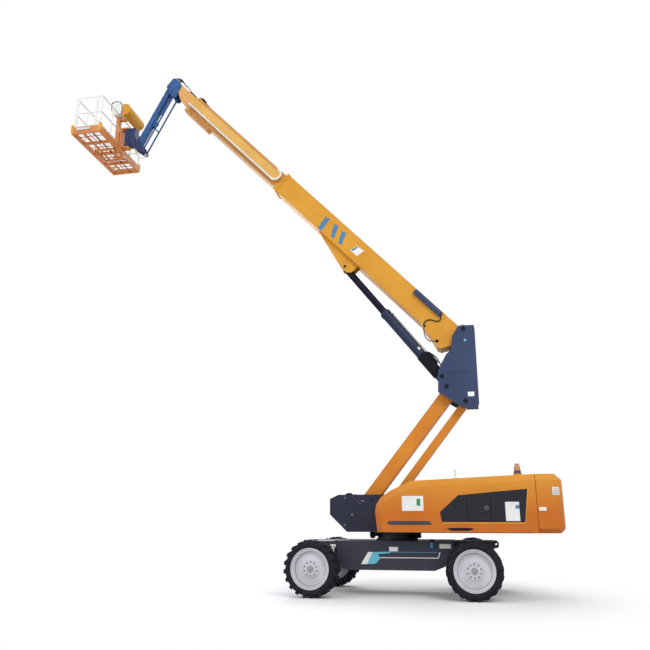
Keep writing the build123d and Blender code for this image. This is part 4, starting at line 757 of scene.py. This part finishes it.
for hand in (1, -1):
    left = 0.371 if hand > 0 else -0.383
    ring.spin([(0.056, 0.001), (0.094, 0.001), (0.094, 0.008), (0.090, 0.012), (0.056, 0.012),
               (0.056, 0.001)], 48, (0, left, 0))
ring.done("boom_root_ring", "boom_first", steel)
edgeBase = Shape(boomFrame)
for hand in (1, -1):
    for h, s0, s1 in ((-0.012, -0.10, 6.25), (-0.538, 0.95, 6.25)):
        edgeBase.box(((s0 + s1) / 2, 0.2512 * hand, h), (s1 - s0, 0.005, 0.006), 0.001)
edgeBase.done("boom_base_welds", "boom_first", boomYellow)
lid = Shape(boomFrame)
lid.box((1.085, boom["boxSide"], -0.0825), (0.82, 0.010, 0.098), 0.006)
lid.box((1.085, 0.29, -0.017), (0.86, 0.07, 0.008), 0.003)
lid.done("cable_box_lid", "boom_first", grey)
lidBolts = Shape(boomFrame)
bolts(lidBolts, [(s, h) for s in (0.70, 1.085, 1.47) for h in (-0.045, -0.12)], 0.3355, 0.008, 0.006)
lidBolts.done("cable_box_bolts", "boom_first", steel)
fit = Shape(boomFrame)
for k in range(5):
    fit.disc((0.640, 0.29, -0.045 - 0.02 * k), forward, 0.008, 0.03, 12)
fit.done("cable_box_glands", "boom_first", hoseRubber)

midTrim = Shape(boomFrame)
for hand in (1, -1):
    bolts(midTrim, [(10.155, h) for h in (-0.10, -0.22, -0.34, -0.45)], 0.221 * hand, 0.011, 0.009)
    bolts(midTrim, [(9.86, -0.10), (9.98, -0.10), (9.86, -0.44), (9.98, -0.44)], 0.205 * hand, 0.011, 0.009)
    bolts(midTrim, [(9.42 + 0.16 * k, -0.56) for k in range(6)], 0.12 * hand, 0.011, 0.009)
midTrim.done("boom_mid_bolts", "boom_second", steel)
edgeMid = Shape(boomFrame)
for hand in (1, -1):
    for h in (-0.062, -0.488):
        edgeMid.box((7.95, 0.2062 * hand, h), (4.20, 0.005, 0.006), 0.001)
edgeMid.done("boom_mid_welds", "boom_second", litStageYellow)
sheave = Shape(boomFrame)
for hand in (1, -1):
    sheave.plate([(9.98, -0.03), (10.0, 0.02), (10.20, 0.03), (10.30, -0.01), (10.28, -0.036)], 0.10 * hand,
                 0.012, 0.002)
sheave.box((10.02, 0, -0.022), (0.16, 0.24, 0.012), 0.003)
sheave.spin([(0.0, -0.045), (0.052, -0.045), (0.052, -0.035), (0.038, -0.02), (0.038, 0.02), (0.052, 0.035),
             (0.052, 0.045), (0.0, 0.045)], 48, (10.20, 0, 0.0), sideways)
sheave.done("boom_mid_sheave", "boom_second", hoseRubber)

flyTop = Shape(boomFrame)
flyTop.box((10.42, 0.0, -0.085), (0.12, 0.22, 0.028), 0.006)
flyTop.box((10.62, 0.03, -0.080), (0.10, 0.16, 0.038), 0.006)
flyTop.done("fly_hose_guides", "boom_third", hoseRubber)
for row in range(4):
    y = -0.07 + 0.035 * row
    hose("fly_hose_%d" % row, boomFrame,
         [(10.34, y, -0.086), (10.45, y, -0.060), (10.60, y, -0.052), (10.74, y, -0.045),
          (10.86, y * 0.8, -0.01), (10.97, y * 0.8, 0.01)], 0.011, "boom_third", hoseRubber)
flyBolts = Shape(boomFrame)
for hand in (1, -1):
    bolts(flyBolts, [(10.66, -0.15), (10.66, -0.275), (10.66, -0.40)], 0.165 * hand, 0.010, 0.008)
flyBolts.done("fly_bolts", "boom_third", steel)

# hose tray: pale chain that curls round its rear end
chain = {"side": 0.3765, "pitch": 0.058, "height": 0.052, "low": -0.402, "radius": 0.150,
         "start": 6.56, "end": 10.27, "turns": 9}
links = Shape(boomFrame)
count = int((chain["end"] - chain["start"]) / chain["pitch"])
for k in range(count):
    s = chain["start"] + (k + 0.5) * chain["pitch"]
    links.box((s, chain["side"], chain["low"]), (chain["pitch"] - 0.004, 0.006, chain["height"]), 0.002)
    links.disc((s + chain["pitch"] / 2, chain["side"] + 0.003, chain["low"]), sideways, 0.009, 0.004, 12)
for k in range(chain["turns"]):
    a = pi * (k + 0.5) / chain["turns"]
    centre = (chain["start"] - chain["radius"] * sin(a), chain["side"],
              chain["low"] + chain["radius"] - chain["radius"] * cos(a))
    links.box(centre, (chain["pitch"] - 0.004, 0.006, chain["height"]), 0.002, Matrix.Rotation(a, 4, "Y"))
links.box((chain["start"] + 0.03, chain["side"], chain["low"] + 2 * chain["radius"]),
          (0.06, 0.006, chain["height"]), 0.002)
links.done("tray_chain", "boom_second", paleStrip)
# brown strips along and under the tray's chain: painted shadow of the tray
under = Shape(boomFrame)
under.box((8.42, 0.374, -0.430), (3.70, 0.008, 0.010), 0.002)
under.box((8.42, 0.3785, -0.386), (3.66, 0.004, 0.006), 0.001)
under.done("tray_painted_shadow", "boom_second", paintedShadowBrown)
tray = Shape(boomFrame)
tray.box((8.45, 0.376, -0.160), (3.66, 0.005, 0.014), 0.002)
for k in range(6):
    tray.box((6.95 + 0.62 * k, 0.3755, -0.27), (0.012, 0.004, 0.19), 0.001)
tray.done("tray_beads", "boom_second", trackCover)

# lift cylinder
cylinder = slant(-1.20, 4.78, 52.18)
sleeve = Shape(cylinder)
sleeve.spin([(0.1215, 0.14), (0.134, 0.15), (0.142, 0.18), (0.142, 0.76), (0.134, 0.785),
             (0.1215, 0.79)], 64, axis=forward)
sleeve.box((0.56, 0.02, 0.150), (0.34, 0.13, 0.070), 0.012)
sleeve.done("lift_valve_sleeve", "cylinder_barrel", hoseRubber)
gland = Shape(cylinder)
gland.spin([(0.089, 2.196), (0.118, 2.196), (0.118, 2.215), (0.108, 2.232), (0.092, 2.236),
            (0.0895, 2.24)], 64, axis=forward)
for k in range(12):
    a = 2 * pi * k / 12
    gland.disc((2.208, 0.104 * cos(a), 0.104 * sin(a)), forward, 0.008, 0.03, 6, 0.001)
gland.done("lift_gland", "cylinder_barrel", darkSteel)
ports = Shape(cylinder)
for s in (0.97, 2.06):
    ports.disc((s, 0.0, 0.132), upward, 0.020, 0.035, 24, 0.004)
ports.done("lift_fittings", "cylinder_barrel", steel)
band = Shape(cylinder).box((0.93, 0.120, 0.045), (0.07, 0.022, 0.055), 0.006)
band.done("lift_fitting_block", "cylinder_barrel", whitePlate)
hose("lift_pipe", cylinder, [(0.72, 0.02, 0.15), (0.84, 0.0, 0.145), (1.10, 0.0, 0.136), (1.90, 0.0, 0.136),
                             (2.06, 0.0, 0.136)], 0.009, "cylinder_barrel", cylinderGrey)
for row in range(2):
    hose("lift_hose_%d" % row, cylinder,
         [(0.72, 0.03 - 0.05 * row, 0.17), (0.60, 0.03 - 0.05 * row, 0.22), (0.40, 0.03 - 0.05 * row, 0.22),
          (0.22, 0.02 - 0.04 * row, 0.16)], 0.013, "cylinder_barrel", hoseRubber)
print("upright, boom and lift cylinder dressed")

# tip bracket and jib
tip = {"capSide": 0.1805, "caps": ((6.02, 13.80), (6.34, 13.82), (6.25, 13.67))}
tipTrim = Shape(ground)
for hand in (1, -1):
    for x, z in tip["caps"]:
        bolts(tipTrim, around(x, z, 0.024, (0.5, 3.6)), tip["capSide"] * hand, 0.006, 0.005)
tipTrim.done("tip_pin_bolts", "boom_tip", steel)
for row in range(4):
    y = -0.075 + 0.05 * row
    hose("tip_hose_%d" % row, ground,
         [(6.30, y, 13.93), (6.30, y, 14.03), (6.24, y, 14.10), (6.12, y, 14.135), (6.00, y, 14.09),
          (5.92, y, 13.99), (5.88, y, 13.90)], 0.012, "boom_tip", hoseRubber, 8)
clamp = Shape(ground).box((6.215, 0, 14.085), (0.05, 0.24, 0.05), 0.008, tilt(35))
clamp.done("tip_hose_clamp", "boom_tip", tankPaint)
jibFrame = slant(6.34, 13.82, -63.83)
for row in range(3):
    y = -0.04 + 0.04 * row
    hose("jib_hose_%d" % row, jibFrame,
         [(0.10, y, 0.100), (0.25, y, 0.088), (0.95, y, 0.088), (1.65, y, 0.088), (1.82, y, 0.115)], 0.010,
         "jib", hoseRubber)
jibTrim = Shape(jibFrame)
for s in (0.35, 0.95, 1.55):
    jibTrim.box((s, 0, 0.088), (0.03, 0.13, 0.030), 0.005)
jibTrim.done("jib_clips", "jib", steel)
jibCylinder = slant(6.25, 13.67, -63.83)
jibGland = Shape(jibCylinder)
jibGland.spin([(0.029, 0.715), (0.058, 0.715), (0.060, 0.722), (0.060, 0.752), (0.054, 0.760),
               (0.029, 0.760)], 48, axis=forward)
for s in (0.14, 0.66):
    jibGland.disc((s, 0, 0.058), upward, 0.014, 0.03, 20, 0.003)
jibGland.done("jib_cylinder_gland", "jib_cylinder_barrel", blue)
headTrim = Shape(ground)
for hand in (1, -1):
    bolts(headTrim, [(7.37, 12.16), (7.37, 12.46), (7.30, 12.05)], 0.168 * hand, 0.012, 0.009)
    for x, z in ((7.19, 12.09), (7.03, 11.80)):
        bolts(headTrim, [(x, z)], 0.1805 * hand if z > 12 else 0.168 * hand, 0.012, 0.008)
headTrim.done("jib_head_bolts", "jib_end", steel)
rotator = Shape(ground)
for low in (-0.24, 0.195):
    rotator.spin([(0.1045, low), (0.112, low + 0.005), (0.112, low + 0.04), (0.1045, low + 0.045)], 64,
                 (7.58, 0, 12.325), upward)
rotator.done("rotator_rings", "jib_end", blue)
for row in range(2):
    hose("head_loop_%d" % row, ground,
         [(7.30, -0.05 + 0.1 * row, 12.05), (7.34, -0.05 + 0.1 * row, 11.90),
          (7.20, -0.04 + 0.1 * row, 11.66),
          (7.02, -0.03 + 0.08 * row, 11.62), (6.95, -0.02 + 0.06 * row, 11.74)], 0.011, "jib_end",
         paleStrip, 10)
print("tip and jib dressed")

# platform
platform = {"deckTop": 11.98, "width": 2.30, "posts": (7.83, 8.61), "sides": (-1.15, 1.15),
            "footRows": (-1.15, -0.575, 0.0, 0.575, 1.15), "sleeves": (12.0, 12.55, 13.041)}
mesh = Shape(ground)
for k in range(12):
    mesh.box((7.858 + 0.0658 * k, 0, platform["deckTop"] - 0.006), (0.0025, platform["width"], 0.003))
for k in range(35):
    mesh.box((8.22, -1.139 + 0.067 * k, platform["deckTop"] - 0.003), (0.78, 0.0025, 0.003))
mesh.done("platform_mesh", "platform", railPaint)
beam = Shape(ground).box((8.06, 0, 11.915), (0.022, platform["width"], 0.022), 0.003)
beam.done("platform_dark_bar", "platform", hoseRubber)
beams = Shape(ground)
beams.box((8.33, 0, 11.925), (0.045, platform["width"], 0.050), 0.006)
for y in (-0.30, 0.30):
    beams.box((8.10, y, 11.862), (0.66, 0.055, 0.055), 0.006)
for x in (8.41, 7.80):
    beams.box((x, 0, 11.862), (0.055, 0.655, 0.055), 0.006)
beams.done("platform_under_frame", "platform", deckYellow)
gussets = Shape(ground)
for hand in (1, -1):
    gussets.plate([(7.80, 11.835), (8.10, 11.835), (7.80, 11.72)], 0.12 * hand, 0.016, 0.002)
gussets.done("platform_gussets", "platform", deckYellow)
corners = Shape(ground)
for x in (7.80, 8.64):
    corners.box((x, 1.203, 12.055), (0.075, 0.010, 0.22), 0.004)
    corners.box((x, 1.16, 12.16), (0.060, 0.090, 0.012), 0.003)
for x in (7.776, 8.664):
    for y in (-1.165, 1.165):
        corners.box((x, y, 12.055), (0.010, 0.075, 0.22), 0.004)
corners.done("platform_corners", "platform", amberEdge)
lampBox = Shape(ground).box((8.28, 1.222, 12.005), (0.42, 0.040, 0.075), 0.010)
lampBox.done("platform_lamp_box", "platform", glowPlate)
joints = Shape(ground)
for x in platform["posts"]:
    for y in platform["sides"]:
        for z in platform["sleeves"]:
            joints.disc((x, y, z), upward, 0.0255, 0.030 if z > 12.1 else 0.020, 24, 0.004)
joints.done("rail_sleeves", "platform", railPaint)
feet = Shape(ground)
for x in platform["posts"]:
    for y in platform["footRows"]:
        if not (x < 8 and y == 0.0):
            feet.box((x, y, 11.986), (0.075, 0.075, 0.010), 0.002)
feet.done("rail_feet", "platform", railPaint)

console = {"half": 0.185, "slope": 17.7}
panel = Shape(ground)
panel.plate([(7.80, 13.076), (8.05, 13.076), (8.05, 13.14), (7.80, 13.22)], 0, 0.35, 0.012)
for hand in (1, -1):
    panel.plate([(7.78, 13.08), (8.05, 13.08), (8.13, 13.40), (8.03, 13.50), (7.85, 13.48), (7.76, 13.34)],
                console["half"] * hand, 0.014, 0.004)
panel.done("console_body", "platform", whitePlate, 35, ["console"])
for name, y in (("left", console["half"]), ("right", -console["half"])):
    hose("console_guard_" + name, ground,
         [(8.055, y, 13.08), (8.135, y, 13.40), (8.10, y, 13.49), (7.95, y, 13.52), (7.80, y, 13.46),
          (7.755, y, 13.30), (7.775, y, 13.08)], 0.014, "platform", tankPaint, 8)
rim = Shape(ground)
for hand in (1, -1):
    rim.box((7.925, 0.170 * hand, 13.188), (0.27, 0.018, 0.018), 0.004, tilt(console["slope"]))
rim.box((7.80, 0, 13.228), (0.018, 0.355, 0.020), 0.004)
rim.box((8.052, 0, 13.146), (0.016, 0.355, 0.018), 0.004)
rim.done("console_rim", "platform", tankPaint)
stick = Shape(ground)
for y in (-0.10, 0.10):
    stick.disc((7.93, y, 13.200), (0.3, 0, 1), 0.026, 0.025, 24, 0.004, 0.018)
    stick.disc((7.945, y, 13.245), (0.25, 0, 1), 0.008, 0.075, 16)
    stick.disc((7.957, y, 13.290), (0.25, 0, 1), 0.016, 0.030, 20, 0.006)
for k in range(5):
    stick.disc((8.015, -0.10 + 0.05 * k, 13.163), (0.3, 0, 1), 0.009, 0.014, 16, 0.002)
stick.done("console_sticks", "platform", hoseRubber)
stop = Shape(ground).disc((7.99, 0.0, 13.18), (0.3, 0, 1), 0.020, 0.024, 24, 0.005)
stop.done("console_stop", "platform", redLens)
print("platform dressed")
